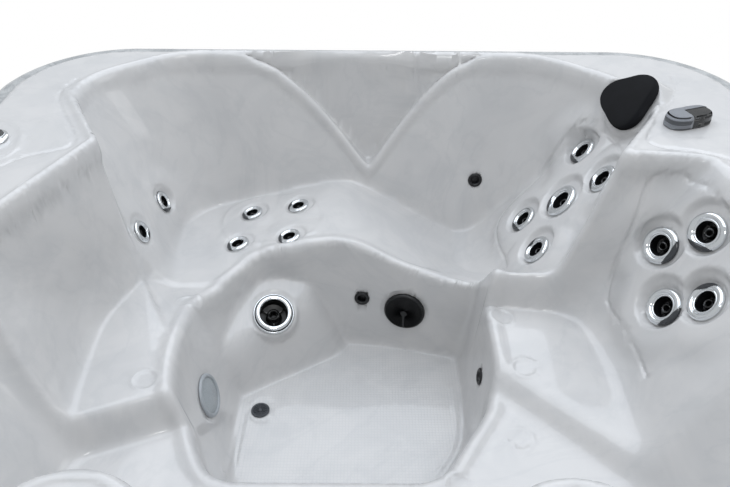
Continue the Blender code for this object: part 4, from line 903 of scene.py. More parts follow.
def settle(name: str, shape: bmesh.types.BMesh, finishes: Sequence[Finish], body: str,
           replaces: Sequence[str] = (), place: Matrix | None = None,
           sharp: float = 38.0) -> bpy.types.Object:
    """Make a piece from a mesh, give it its finishes and let it ride on its body.

    Args:
        name: the piece's name.
        shape: its mesh, whose faces' material numbers point into finishes.
        finishes: the finishes in order.
        body: the body that carries it.
        replaces: the solids that it stands for.
        place: the matrix that moves the mesh to its place.
        sharp: the angle in degrees above which an edge stays sharp.

    Returns:
        The piece.
    """
    if place is not None:
        shape.transform(place)
    mesh = bpy.data.meshes.new(name)
    shape.to_mesh(mesh)
    shape.free()
    for finish in finishes:
        mesh.materials.append(finish.material())
    mesh.shade_smooth()
    mesh.set_sharp_from_angle(angle=math.radians(sharp))
    piece = bpy.data.objects.new(name, mesh)
    bpy.context.scene.collection.objects.link(piece)
    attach(piece, body)
    if replaces:
        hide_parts(*replaces)
    LOG.info("%s: %d faces on %s", name, len(mesh.polygons), body)
    return piece


# The moulded shell

@dataclass(frozen=True)
class ShellFitting:
    """A fitting as the shell knows it: its frame, its radius, its well's depth and its field's lift."""

    frame: Matrix
    radius: float
    well: float
    lift: float = 0.0


@dataclass
class MouldedShell:
    """The acrylic shell with its beads, grooves, embossed marks, dimples and wells."""

    form: TubForm
    fittings: list[ShellFitting]
    drain_place: tuple[float, float]
    plan_cells: int = 112
    relax_rounds: int = 70
    cells: int = 95
    refine_rounds: tuple[tuple[float, float], ...] = ((9.0, 0.010), (14.0, 0.008), (60.0, 0.004))
    bead_width: float = 0.046
    bead_height: float = 0.0075
    well_bead_width: float = 0.066
    well_bead_height: float = 0.0090
    flange_width: float = 0.062
    flange_step: float = 0.0055
    groove_width: float = 0.016
    groove_depth: float = 0.0050
    arch_bead_width: float = 0.032
    arch_bead_height: float = 0.0085
    deck_groove_width: float = 0.014
    deck_groove_depth: float = 0.0028
    oval_width: float = 0.018
    oval_height: float = 0.0026
    calf_ridge_width: float = 0.020
    calf_ridge_height: float = 0.0030
    mark_radius: float = 0.030
    mark_width: float = 0.014
    mark_height: float = 0.0020
    mark_depth: float = 0.0012
    floor_line_width: float = 0.016
    floor_line_height: float = 0.0030
    drain_dish: tuple[float, float] = (0.030, 0.042)
    drain_dish_depth: float = 0.0030
    floor_zone: float = 0.05
    bead_fade: tuple[float, float] = (-0.06, -0.04)
    bead_front_share: float = 0.35
    bead_front_fade: tuple[float, float] = (-0.74, -0.60)
    well_bead_start: tuple[float, float] = (0.28, 0.33)
    well_bead_end: tuple[float, float] = (0.56, 0.62)
    flange_run: float = 0.012
    back_wall_line: float = 0.86
    seat_top: float = 0.56
    calf_line: float = 0.45
    arch_bead_fade: tuple[float, float] = (-0.055, -0.015)
    arch_bead_band: tuple[float, float] = (0.030, 0.050)
    arch_bead_ends: tuple[float, float] = (0.50, 0.56)
    edge_zone: tuple[float, float] = (0.024, 0.05)
    back_zone: tuple[float, float] = (0.022, 0.045)
    back_line: float = 0.90
    back_half: float = 0.62
    well_zone: tuple[float, float, float] = (0.030, 0.31, 0.60)
    arch_zone: tuple[float, float] = (0.016, 0.56)
    detail_zone: float = 0.009
    panel_zone: float = 0.012
    jet_zone: float = 1.3
    raised_jet_zone: float = 1.8
    edge_step: float = 0.0116
    back_edge_step: float = 0.0062
    flange_edge_step: float = 0.0120
    arch_step: float = 0.0075
    detail_step: float = 0.0066
    floor_line_step: float = 0.0070
    jet_steps: float = 9.0
    finest_step: float = 0.0036
    marks: tuple[tuple[float, float], ...] = (
        (-0.503, 0.348), (-0.539, 0.045), (0.347, 0.305), (0.377, 0.125), (0.341, -0.053),
        (0.187, -0.178))
    lounge_panel: tuple = ((0.400, 0.523), (0.396, 0.632), (0.399, 0.715), (0.411, 0.773), (0.436, 0.795),
                           (0.486, 0.813), (0.543, 0.831), (0.606, 0.833), (0.645, 0.812), (0.673, 0.770),
                           (0.685, 0.700), (0.684, 0.600))
    seat_panel: tuple = ((0.637, 0.046), (0.641, 0.130), (0.632, 0.200), (0.606, 0.282), (0.611, 0.311),
                         (0.624, 0.337), (0.638, 0.353), (0.651, 0.364), (0.662, 0.376), (0.679, 0.380),
                         (0.708, 0.378), (0.751, 0.370), (0.782, 0.336), (0.799, 0.300), (0.815, 0.240))
    calf_panel: tuple = ((-0.485, 0.866), (-0.159, 0.820), (-0.139, 0.562), (-0.457, 0.611))
    floor_lines: tuple = (((-0.372, 0.262), (-0.378, 0.130), (-0.378, -0.060)),
                          ((-0.345, 0.262), (-0.352, 0.130), (-0.352, -0.060)),
                          ((0.240, 0.330), (0.240, 0.130), (0.160, 0.010)))
    right_deck_groove: tuple = ((0.862, 0.836), (0.858, 0.788), (0.811, 0.689), (0.676, 0.477),
                                (0.671, 0.442), (0.715, 0.415), (0.775, 0.411), (0.900, 0.330))
    left_deck_groove: tuple = ((-0.845, 0.790), (-0.862, 0.703), (-0.848, 0.644), (-0.735, 0.455),
                               (-0.728, 0.405), (-0.765, 0.385), (-0.828, 0.358), (-0.870, 0.300))
    control_oval: tuple = ((-0.870, 0.480), (-0.850, 0.340), (-0.990, 0.320), (-1.020, 0.500),
                           (-0.930, 0.530))
    plan: tuple = field(default=(), repr=False)

    def outline(self, u: Array, v: Array) -> tuple[Array, Array]:
        """Map points on the edge of the unit square to the rounded outline of the tub.

        Args:
            u: the points' first coordinates on the unit square.
            v: their second coordinates.

        Returns:
            The points' two plan coordinates.
        """
        half = self.form.side / 2.0
        flat = half - self.form.corner_radius
        across, along = np.abs(u) * half, np.abs(v) * half
        steep = across >= along
        lesser = np.minimum(across, along)
        share = np.clip((lesser - flat) / self.form.corner_radius, 0.0, 1.0)
        major = flat + self.form.corner_radius * np.cos(share * math.pi / 4.0)
        minor = np.where(share > 0.0, flat + self.form.corner_radius * np.sin(share * math.pi / 4.0), lesser)
        return np.where(steep, major, minor) * np.sign(u), np.where(steep, minor, major) * np.sign(v)

    def spread(self, u: Array, v: Array) -> tuple[Array, Array]:
        """Map the unit square to the tub's plan.

        Args:
            u: the points' first coordinates on the unit square.
            v: their second coordinates.

        Returns:
            The points' two plan coordinates.
        """
        half = self.form.side / 2.0
        reach = np.maximum(np.maximum(np.abs(u), np.abs(v)), 1e-6)
        edge_x, edge_y = self.outline(u / reach, v / reach)
        pull = reach ** 4
        return half * u + pull * (edge_x - half * u / reach), half * v + pull * (edge_y - half * v / reach)

    def relaxed_plan(self) -> tuple[Array, Array]:
        """Return a coarse plan whose points are drawn together where the walls are steep.

        Returns:
            The two coordinates of a square grid of points.
        """
        steps = np.linspace(-1.0, 1.0, self.plan_cells + 1)
        u, v = np.meshgrid(steps, steps, indexing="ij")
        x, y = self.spread(u, v)
        inner = slice(1, -1)
        for _ in range(self.relax_rounds):
            z = self.form.height(x, y)
            total = np.zeros_like(x[inner, inner])
            pull_x, pull_y = total.copy(), total.copy()
            for shift in ((1, 0), (-1, 0), (0, 1), (0, -1)):
                near = [np.roll(plan, shift, (0, 1))[inner, inner] for plan in (x, y, z)]
                weight = ((near[0] - x[inner, inner]) ** 2 + (near[1] - y[inner, inner]) ** 2
                          + (near[2] - z[inner, inner]) ** 2)
                total += weight
                pull_x += weight * near[0]
                pull_y += weight * near[1]
            x[inner, inner] = (x[inner, inner] + pull_x / total) / 2.0
            y[inner, inner] = (y[inner, inner] + pull_y / total) / 2.0
        return x, y

    def plan_points(self, u: Array, v: Array) -> tuple[Array, Array]:
        """Return the plan points of grid coordinates, read from the relaxed plan.

        Args:
            u: the points' first coordinates on the unit square.
            v: their second coordinates.

        Returns:
            The points' two plan coordinates.
        """
        places = []
        for value in (u, v):
            scaled = (np.clip(value, -1.0, 1.0) + 1.0) / 2.0 * self.plan_cells
            low = np.minimum(scaled.astype(int), self.plan_cells - 1)
            places.append((low, scaled - low))
        (i, s), (j, t) = places
        found = []
        for plan in self.plan:
            found.append((1 - s) * (1 - t) * plan[i, j] + s * (1 - t) * plan[i + 1, j]
                         + (1 - s) * t * plan[i, j + 1] + s * t * plan[i + 1, j + 1])
        return found[0], found[1]

    def dished(self, points: Array, offset: Array) -> Array:
        """Add the raised fields round the jets, with a dish open towards the top of each jet.

        Args:
            points: an array of places, one row each.
            offset: how far each is lifted so far.

        Returns:
            The new offsets.
        """
        raised = np.zeros(len(points))
        open_dish = np.ones(len(points))
        for fitting in self.fittings:
            if fitting.lift <= 0.0:
                continue
            centre = np.array(fitting.frame.to_translation())
            up = np.array(facing(centre, fitting.frame.col[2][:3]).col[1][:3])
            near = points - centre
            radius = fitting.radius
            raised = np.maximum(raised, fitting.lift * (1.0 - ease(np.linalg.norm(near, axis=1),
                                                                    1.9 * radius, 3.4 * radius)))
            inside = np.linalg.norm(near - 0.20 * radius * up, axis=1) / radius
            open_dish *= ease(inside, 1.16, 1.54)
        return offset + raised * open_dish

    def panel_distance(self, points: Array) -> Array:
        """Return each point's distance to the grooves that outline the jet panels.

        Args:
            points: an array of places, one row each.

        Returns:
            The distance of every row.
        """
        near = np.full(len(points), np.inf)
        for panel in (self.lounge_panel, self.seat_panel):
            plan = np.array(rounded_path(panel, False, 1))
            on_face = np.column_stack([plan, self.form.height(plan[:, 0], plan[:, 1])])
            near = np.minimum(near, path_distance(points, on_face, False))
        return near

    def edge_distances(self, x: Array, y: Array) -> tuple[Array, Array, Array]:
        """Return the distances to the rim's edge, to the footwell's edge and to the two arches.

        Args:
            x: the points' first coordinates.
            y: their second coordinates.

        Returns:
            Three arrays of signed distances.
        """
        form = self.form
        return (form.contour_distance(lambda a, b: form.basin(a, b) - form.rim, x, y),
                form.contour_distance(lambda a, b: form.footwell(a, b) - form.seats(a, b), x, y),
                form.contour_distance(lambda a, b: form.bay(b) - form.arch(a), x, y))

    def wanted_step(self, points: Array) -> Array:
        """Return how fine the mesh has to be at each point to hold the details there.

        Args:
            points: an array of places, one row each.

        Returns:
            The longest side of a face at every row.
        """
        x, y, z = points.T
        step = np.full(len(points), np.inf)

        def need(where: Array, value: float) -> None:
            """Ask for a step on some of the points."""
            step[where] = np.minimum(step[where], value)

        edge, well, arch = self.edge_distances(x, y)
        reach, depth = self.edge_zone
        need((np.abs(edge) < reach) & (z > self.form.rim - depth), self.edge_step)
        reach, depth = self.back_zone
        at_back = (y > self.back_line) & (np.abs(x) < self.back_half)
        need((np.abs(edge) < reach) & (z > self.form.rim - depth) & at_back, self.back_edge_step)
        reach, low, high = self.well_zone
        need((np.abs(well) < reach) & (z > low) & (z < high), self.edge_step)
        flange = self.form.edge_distance(x, y) - self.flange_width - self.flange_run / 2.0
        need(np.abs(flange) < self.flange_run, self.flange_edge_step)
        reach, half = self.arch_zone
        need((np.abs(arch) < reach) & (y > self.back_wall_line) & (np.abs(x) < half), self.arch_step)
        need(self.panel_distance(points) < self.panel_zone, self.detail_step)
        for path in (self.right_deck_groove, self.left_deck_groove, self.control_oval):
            near = path_distance(points[:, :2], rounded_path(path, path is self.control_oval),
                                 path is self.control_oval)
            need((near < self.detail_zone) & (z > self.form.rim - 0.02), self.detail_step)
        for path in self.floor_lines:
            near = path_distance(points[:, :2], path, False)
            need((near < 0.014) & (z < self.form.floor + 0.06), self.floor_line_step)
        for mark in self.marks:
            ring = np.abs(np.hypot(x - mark[0], y - mark[1]) - self.mark_radius)
            need((ring < self.detail_zone) & (z < self.seat_top), self.detail_step)
        for fitting in self.fittings:
            reach = np.linalg.norm(points - np.array(fitting.frame.to_translation()), axis=1) / fitting.radius
            need(reach < (self.raised_jet_zone if fitting.lift > 0.0 else self.jet_zone), self.detail_step)
            need((reach > 0.64) & (reach < self.jet_zone),
                 max(fitting.radius / self.jet_steps, self.finest_step))
        return step

    def offsets(self, points: Array) -> Array:
        """Return how far the mould's details lift each point out of the plain form.

        Args:
            points: an array of places, one row each.

        Returns:
            The lift of every row along the normal.
        """
        x, y, z = points.T
        edge, well, arch = self.edge_distances(x, y)
        rim = self.form.rim
        bead = hump(edge - 0.001, self.bead_width / 2.0) * ease(z, *(rim + fade for fade in self.bead_fade))
        front = self.bead_front_share
        offset = self.bead_height * bead * (front + (1.0 - front) * ease(y, *self.bead_front_fade))
        around = ease(z, *self.well_bead_start) * (1.0 - ease(z, *self.well_bead_end))
        offset += self.well_bead_height * hump(well - 0.006, self.well_bead_width / 2.0) * around
        flange = 1.0 - ease(self.form.edge_distance(x, y), self.flange_width,
                            self.flange_width + self.flange_run)
        offset -= self.flange_step * flange
        on_wall = ((1.0 - ease(z, *(rim + fade for fade in self.arch_bead_fade)))
                   * (y > self.back_wall_line)
                   * (1.0 - ease(np.abs(z - self.form.arch(x)), *self.arch_bead_band))
                   * (1.0 - ease(np.abs(x), *self.arch_bead_ends)))
        offset += self.arch_bead_height * hump(arch - 0.002, self.arch_bead_width / 2.0) * on_wall
        on_deck = z > self.form.rim - 0.006
        for path in (self.right_deck_groove, self.left_deck_groove):
            line = path_distance(points[:, :2], rounded_path(path, False), False)
            offset -= self.deck_groove_depth * hump(line, self.deck_groove_width / 2.0) * on_deck
        oval = path_distance(points[:, :2], rounded_path(self.control_oval, True), True)
        offset += self.oval_height * hump(oval, self.oval_width / 2.0) * on_deck
        offset -= self.groove_depth * hump(self.panel_distance(points), self.groove_width / 2.0)
        calf = path_distance(points[:, :2], rounded_path(self.calf_panel, True), True)
        on_calf = (z < self.seat_top) & (y > self.calf_line)
        offset += self.calf_ridge_height * hump(calf, self.calf_ridge_width / 2.0) * on_calf
        for mark in self.marks:
            ring = np.hypot(x - mark[0], y - mark[1]) - self.mark_radius
            sunk = self.mark_depth * (1.0 - ease(ring, -0.006, 0.0))
            offset += (self.mark_height * hump(ring, self.mark_width / 2.0) - sunk) * (z < self.seat_top)
        on_floor = z < self.form.floor + self.floor_zone
        for path in self.floor_lines:
            line = path_distance(points[:, :2], rounded_path(path, False), False)
            offset += self.floor_line_height * hump(line, self.floor_line_width / 2.0) * on_floor
        dish = np.hypot(x - self.drain_place[0], y - self.drain_place[1])
        offset -= self.drain_dish_depth * (1.0 - ease(dish, *self.drain_dish)) * on_floor
        return self.dished(points, offset)

    def seated(self, points: Array) -> Array:
        """Press the flat seat and the well of every fitting into the face.

        Args:
            points: an array of places, one row each.

        Returns:
            The places, moved.
        """
        for fitting in self.fittings:
            centre = np.array(fitting.frame.to_translation())
            axis = np.array(fitting.frame.col[2][:3])
            near = points - centre
            high = near @ axis
            reach = np.linalg.norm(near - high[:, None] * axis, axis=1)
            radius = fitting.radius
            close = (reach < 1.5 * radius) & (np.abs(high) < 0.10)
            flat = (1.0 - ease(reach, 1.05 * radius, 1.26 * radius)) * close
            level = high * (1.0 - flat) - 0.0009 * flat
            sunk = (1.0 - ease(reach, 0.74 * radius, 0.88 * radius)) * close
            level -= fitting.well * sunk
            points = points + ((level - high) * close)[:, None] * axis
        return points

    def moulded(self, u: Array, v: Array) -> Array:
        """Return the finished places of grid coordinates.

        Args:
            u: the points' first coordinates on the unit square.
            v: their second coordinates.

        Returns:
            One row of three numbers per point.
        """
        x, y = self.plan_points(u, v)
        points = np.stack([x, y, self.form.height(x, y)], -1)
        points = points + self.offsets(points)[:, None] * self.form.normals(x, y)
        return self.seated(points)

    def refine(self, shape: bmesh.types.BMesh, angle: float, shortest: float) -> None:
        """Split the faces that bend by more than an angle or carry a detail, in grid coordinates.

        Args:
            shape: the mesh, flat on the unit square.
            angle: the angle between two faces, in radians.
            shortest: the length of an edge that is split no more.
        """
        verts = list(shape.verts)
        grid = np.array([vert.co for vert in verts])
        places = self.moulded(grid[:, 0], grid[:, 1])
        for vert, place in zip(verts, places):
            vert.co = place
        shape.normal_update()
        faces = set()
        for edge in shape.edges:
            if len(edge.link_faces) == 2 and edge.calc_length() > shortest:
                if edge.link_faces[0].normal.angle(edge.link_faces[1].normal, 0.0) > angle:
                    faces.update(edge.link_faces)
        every = list(shape.faces)
        wanted = self.wanted_step(np.array([face.calc_center_median() for face in every]))
        sizes = np.sqrt(np.array([face.calc_area() for face in every]))
        faces.update(every[number] for number in np.flatnonzero(sizes > wanted))
        for vert, place in zip(verts, grid):
            vert.co = place
        edges = list({edge for face in faces for edge in face.edges})
        bmesh.ops.subdivide_edges(shape, edges=edges, cuts=1, use_grid_fill=True)

    def build(self) -> bpy.types.Object:
        """Return the shell: the refined sheet with its rolled rim and skirt.

        Returns:
            The shell.
        """
        self.plan = self.relaxed_plan()
        shape = bmesh.new()
        bmesh.ops.create_grid(shape, x_segments=self.cells, y_segments=self.cells, size=1.0)
        for angle, shortest in self.refine_rounds:
            self.refine(shape, math.radians(angle), shortest)
        grid = np.array([vert.co for vert in shape.verts])
        for vert, place in zip(shape.verts, self.moulded(grid[:, 0], grid[:, 1])):
            vert.co = place
        rim = [edge for edge in shape.edges if len(edge.link_faces) == 1]
        hem = self.form.rim - self.form.roll_drop - self.form.skirt
        for level, inset in ((self.form.rim - self.form.roll_drop - 0.014, 0.0), (hem + 0.002, 0.0),
                             (hem, 0.0015), (hem, self.form.wall)):
            grown = bmesh.ops.extrude_edge_only(shape, edges=rim)["geom"]
            rim = [item for item in grown if isinstance(item, bmesh.types.BMEdge)]
            for vert in [item for item in grown if isinstance(item, bmesh.types.BMVert)]:
                vert.co.z = level
                if inset:
                    scale = 1.0 - inset / (self.form.side / 2.0)
                    vert.co.x *= scale
                    vert.co.y *= scale
        bmesh.ops.triangulate(shape, faces=[face for face in shape.faces if len(face.verts) > 4])
        bmesh.ops.recalc_face_normals(shape, faces=shape.faces)
        # The faces of the outer roll and flange take the darker acrylic, which is painted shade.
        middles = np.array([face.calc_center_median() for face in shape.faces])
        rolled = self.form.edge_distance(middles[:, 0], middles[:, 1]) < self.flange_width + 0.003
        for face, outer in zip(shape.faces, rolled):
            face.material_index = int(outer)
        return settle("moulded_shell", shape, [ACRYLIC, SHADED_EDGE_ACRYLIC], "tub", ["shell"],
                      sharp=60.0)


# Jets

class JetStyle(Enum):
    """The make-up of a jet's face."""

    NOZZLE = "nozzle"
    WIDE = "wide"


@dataclass
class JetFace:
    """A turning jet face: chromed bezel with a smoked insert, dark throat and aimed nozzle."""

    name: str
    frame: Matrix
    radius: float
    style: JetStyle = JetStyle.NOZZLE
    insert_turn: float = -75.0
    insert_share: float = 0.66
    throat_depth: float = 0.50
    nozzle_tilt: float = 14.0
    nozzle_turn: float = 40.0
    nozzle_depth: float = 0.22

    def bezel_profile(self) -> list[tuple[float, float]]:
        """Return the bezel's section from its outer foot to its throat's lip, in radii."""
        if self.style is JetStyle.WIDE:
            return [(0.985, 0.010), (0.985, 0.10), (0.96, 0.15), (0.90, 0.17), (0.875, 0.13), (0.86, 0.15),
                    (0.855, 0.25), (0.82, 0.31), (0.72, 0.325), (0.655, 0.30), (0.635, 0.22), (0.63, 0.02)]
        return [(0.985, 0.010), (0.99, 0.07), (0.96, 0.135), (0.88, 0.185), (0.78, 0.195), (0.70, 0.165),
                (0.655, 0.115), (0.635, 0.125), (0.585, 0.135), (0.545, 0.10), (0.530, 0.02)]

    def build(self) -> None:
        """Add the bezel with its throat, and the nozzle inside it."""
        lip = self.bezel_profile()
        mouth = lip[-1][0]
        rounds = eased_profile(lip, self.radius)
        throat = [(mouth * 0.99 * self.radius, -0.04 * self.radius),
                  (mouth * 0.96 * self.radius, -self.throat_depth * self.radius),
                  (mouth * 0.55 * self.radius, -(self.throat_depth + 0.06) * self.radius),
                  (0.0, -(self.throat_depth + 0.06) * self.radius)]
        under = [(0.0, -(self.throat_depth + 0.10) * self.radius),
                 (mouth * 1.03 * self.radius, -(self.throat_depth + 0.10) * self.radius),
                 (mouth * 1.05 * self.radius, 0.010 * self.radius)]
        shape = spun(under + rounds + throat, 72)
        turn = math.radians(self.insert_turn)
        chord = Vector((math.cos(turn), math.sin(turn), 0.0))
        for face in shape.faces:
            middle = face.calc_center_median()
            reach = math.hypot(middle.x, middle.y) / self.radius
            if middle.z < 0.03 * self.radius and reach < mouth + 0.06:
                face.material_index = 2
            elif middle.dot(chord) > self.insert_share * self.radius and self.style is JetStyle.NOZZLE:
                face.material_index = 1
            elif self.style is JetStyle.WIDE and 0.855 < reach < 0.905:
                face.material_index = 1
        settle(f"{self.name}_bezel", shape, [CHROME, SMOKED, BLACK_ABS], self.name, [self.name],
               lifted(self.frame), 50.0)
        self.add_nozzle(mouth)

    def add_nozzle(self, mouth: float) -> None:
        """Add the nozzle: an aimed tube held by three vanes in the throat.

        Args:
            mouth: the throat's radius as a share of the jet's.
        """
        inner = mouth * self.radius
        tube = inner * 0.46
        profile = [(tube * 0.55, -0.30 * inner), (tube * 0.62, 0.16 * inner), (tube * 0.80, 0.22 * inner),
                   (tube, 0.16 * inner), (tube * 1.02, -0.30 * inner), (tube * 1.30, -0.42 * inner),
                   (tube * 0.50, -0.44 * inner), (tube * 0.55, -0.30 * inner)]
        shape = spun(profile, 40)
        aim = (Matrix.Rotation(math.radians(self.nozzle_turn), 4, "Z")
               @ Matrix.Rotation(math.radians(self.nozzle_tilt), 4, "X"))
        shape.transform(aim)
        for number in range(3):
            angle = TAU * number / 3.0 + 0.4
            middle = (tube + inner * 0.93) / 2.0
            place = (Matrix.Rotation(angle, 4, "Z") @ Matrix.Translation((middle, 0.0, -0.30 * inner))
                     @ Matrix.Diagonal((inner * 0.93 - tube * 0.9, inner * 0.10, inner * 0.20, 1.0)))
            vane = bmesh.ops.create_cube(shape, size=1.0, matrix=place)["verts"]
            rim = list({edge for vert in vane for edge in vert.link_edges})
            bmesh.ops.bevel(shape, geom=rim, offset=inner * 0.02, affect="EDGES", segments=2, profile=0.5,
                            material=-1)
        settle(f"{self.name}_nozzle", shape, [GLOSS_BLACK], self.name, (),
               lifted(self.frame, -self.nozzle_depth * self.radius))


# Fittings in the water

@dataclass
class SuctionCover:
    """The domed suction cover with its rings of small holes and one moulded line down its face."""

    frame: Matrix
    radius: float = 0.062
    rows: int = 15
    spokes: int = 96
    line_angle: float = -0.5 * math.pi

    def build(self) -> None:
        """Add the dome, its holes and the line."""
        skirt = [(0.0, 0.0), (0.99, 0.0), (1.0, 0.05), (0.995, 0.12), (0.95, 0.175)]
        dome = [(0.90 - 0.80 * row / self.rows, 0.19 + 0.11 * math.sin(0.5 * math.pi * row / self.rows))
                for row in range(self.rows + 1)]
        profile = [(r * self.radius, h * self.radius) for r, h in skirt + dome + [(0.0, 0.305)]]
        shape = spun(profile, self.spokes)
        holes = []
        for face in shape.faces:
            middle = face.calc_center_median()
            reach = math.hypot(middle.x, middle.y) / self.radius
            angle = abs(math.atan2(middle.y, middle.x) - self.line_angle)
            on_line = angle * reach < 0.045
            if 0.14 < reach < 0.92 and middle.z > 0.18 * self.radius and not on_line:
                holes.append(face)
        bmesh.ops.inset_individual(shape, faces=holes, thickness=0.0004, depth=-0.0012,
                                   use_even_offset=False)
        settle("suction_dome", shape, [BLACK_ABS], "tub", ["suction_cover"],
               lifted(self.frame))


@dataclass
class FloorDrain:
    """The round drain cover in the footwell's floor, with rings of slots."""

    frame: Matrix
    radius: float = 0.026

    def build(self) -> None:
        """Add the cover and its slots."""
        rings = [(0.0, 0.0), (1.0, 0.0), (1.0, 0.09), (0.93, 0.145), (0.84, 0.13), (0.80, 0.10), (0.66, 0.11),
                 (0.50, 0.12), (0.34, 0.125), (0.18, 0.13), (0.0, 0.13)]
        shape = spun([(r * self.radius, h * self.radius) for r, h in rings], 48)
        slots = [face for face in shape.faces
                 if 0.20 < face.calc_center_median().xy.length / self.radius < 0.80
                 and face.calc_center_median().z > 0.09 * self.radius
                 and round(math.atan2(face.calc_center_median().y, face.calc_center_median().x)
                           / TAU * 48.0 - 0.5) % 3 != 0]
        bmesh.ops.inset_individual(shape, faces=slots, thickness=0.0003, depth=-0.0014)
        settle("floor_drain_grille", shape, [DARK_ABS], "tub", ["drain_cover"],
               lifted(self.frame))


@dataclass
class FootwellLight:
    """The underwater light: a grey ring round a lens with moulded prism rings."""

    frame: Matrix
    radius: float = 0.059
    prisms: int = 9

    def build(self) -> None:
        """Add the ring and the lens."""
        ring = eased_profile([(0.80, 0.02), (0.81, 0.10), (0.87, 0.135), (0.95, 0.125), (1.0, 0.06),
                              (1.0, 0.008)], self.radius)
        base = [(0.79 * self.radius, 0.008 * self.radius)]
        settle("light_ring", spun(ring + base + ring[:1], 72), [GREY_ABS], "tub", (),
               lifted(self.frame))
        crown = []
        for step in range(2 * self.prisms + 1):
            share = 1.0 - step / (2.0 * self.prisms + 1.0)
            ripple = 0.010 if step % 2 else 0.0
            crown.append((0.80 * share * self.radius,
                          (0.055 + 0.085 * (1.0 - share * share) + ripple) * self.radius))
        lens = [(0.0, 0.0), (0.80 * self.radius, 0.0)] + crown + [(0.0, crown[-1][1] + 0.0003)]
        settle("light_lens_glass", spun(lens, 72), [LENS], "tub", ["light_lens"],
               lifted(self.frame))


@dataclass
class WaterOutlet:
    """A small black outlet: a rounded flange round an open throat."""

    name: str
    frame: Matrix
    radius: float = 0.023

    def build(self) -> None:
        """Add the flange with its throat."""
        lip = eased_profile([(1.0, 0.004), (0.99, 0.10), (0.88, 0.19), (0.70, 0.19), (0.56, 0.10),
                             (0.50, -0.05)], self.radius)
        throat = [(0.49 * self.radius, -0.58 * self.radius), (0.0, -0.60 * self.radius)]
        under = [(0.0, -0.66 * self.radius), (0.54 * self.radius, -0.66 * self.radius),
                 (0.55 * self.radius, 0.004 * self.radius)]
        settle(f"{self.name}_flange", spun(under + lip + throat, 48), [BLACK_ABS], "tub", [self.name],
               lifted(self.frame), 50.0)


# Deck pieces

def rounded_loop(half_length: float, half_width: float, power: float, count: int) -> list[Vector]:
    """Return the points of a rounded outline, an ellipse where the power is 2.

    Args:
        half_length: half the size along X.
        half_width: half the size along Y.
        power: how square the outline is.
        count: the number of points.

    Returns:
        The points, counterclockwise.
    """
    points = []
    for step in range(count):
        angle = TAU * step / count
        across, along = math.cos(angle), math.sin(angle)
        reach = (abs(across) ** power + abs(along) ** power) ** (-1.0 / power)
        points.append(Vector((half_length * reach * across, half_width * reach * along, 0.0)))
    return points


def lofted(outline: Sequence[Vector], sections: Sequence[tuple[float, float]],
           inset: bool) -> bmesh.types.BMesh:
    """Return a closed body that grows from an outline through scaled or inset sections.

    Args:
        outline: the plan outline, counterclockwise.
        sections: pairs of scale or inset and height, from the bottom up.
        inset: whether the first number of a pair is an inset in metres and not a scale.

    Returns:
        The closed mesh.
    """
    shape = bmesh.new()
    face = shape.faces.new([shape.verts.new(point) for point in outline])
    first = True
    ring = list(face.verts)
    for amount, height in sections:
        if not first:
            grown = bmesh.ops.extrude_face_region(shape, geom=[face])["geom"]
            face = next(item for item in grown if isinstance(item, bmesh.types.BMFace))
            ring = list(face.verts)
        order = sorted(ring, key=lambda vert: math.atan2(vert.co.y, vert.co.x))
        base = sorted(outline, key=lambda point: math.atan2(point.y, point.x))
        for vert, point in zip(order, base):
            scale = (point.length - amount) / point.length if inset else amount
            vert.co = (point.x * scale, point.y * scale, height)
        first = False
    bmesh.ops.poke(shape, faces=[face])
    bottom = [item for item in shape.faces if len(item.verts) > 4]
    bmesh.ops.triangulate(shape, faces=bottom)
    bmesh.ops.recalc_face_normals(shape, faces=shape.faces)
    return shape


@dataclass
class HeadPillow:
    """The head pillow: a crowned pad of skinned foam, a triangle with round corners, point down."""

    frame: Matrix
    radius: float = 0.078
    width_share: float = 1.02
    corner_share: float = 0.12
    thickness: float = 0.045
    turn: float = 40.0

    def build(self) -> None:
        """Add the pillow with its drawn-in sides and crowned face."""
        outline = []
        for step in range(72):
            angle = TAU * step / 72
            reach = self.radius * (1.0 + self.corner_share * math.sin(3.0 * angle))
            outline.append(Vector((reach * math.cos(angle) * self.width_share, reach * math.sin(angle), 0.0)))
        sections = [(0.86, 0.0), (0.94, 0.03), (0.985, 0.12), (1.0, 0.26), (0.998, 0.40), (0.98, 0.54),
                    (0.945, 0.66), (0.89, 0.77), (0.81, 0.86), (0.70, 0.93), (0.56, 0.975), (0.38, 0.995),
                    (0.18, 1.0)]
        shape = lofted(outline, [(scale, height * self.thickness) for scale, height in sections], False)
        turned = self.frame @ Matrix.Rotation(math.radians(self.turn), 4, "Z")
        pillow = settle("head_pillow", shape, [FOAM], "tub", ["pillow"],
                        lifted(turned), 80.0)


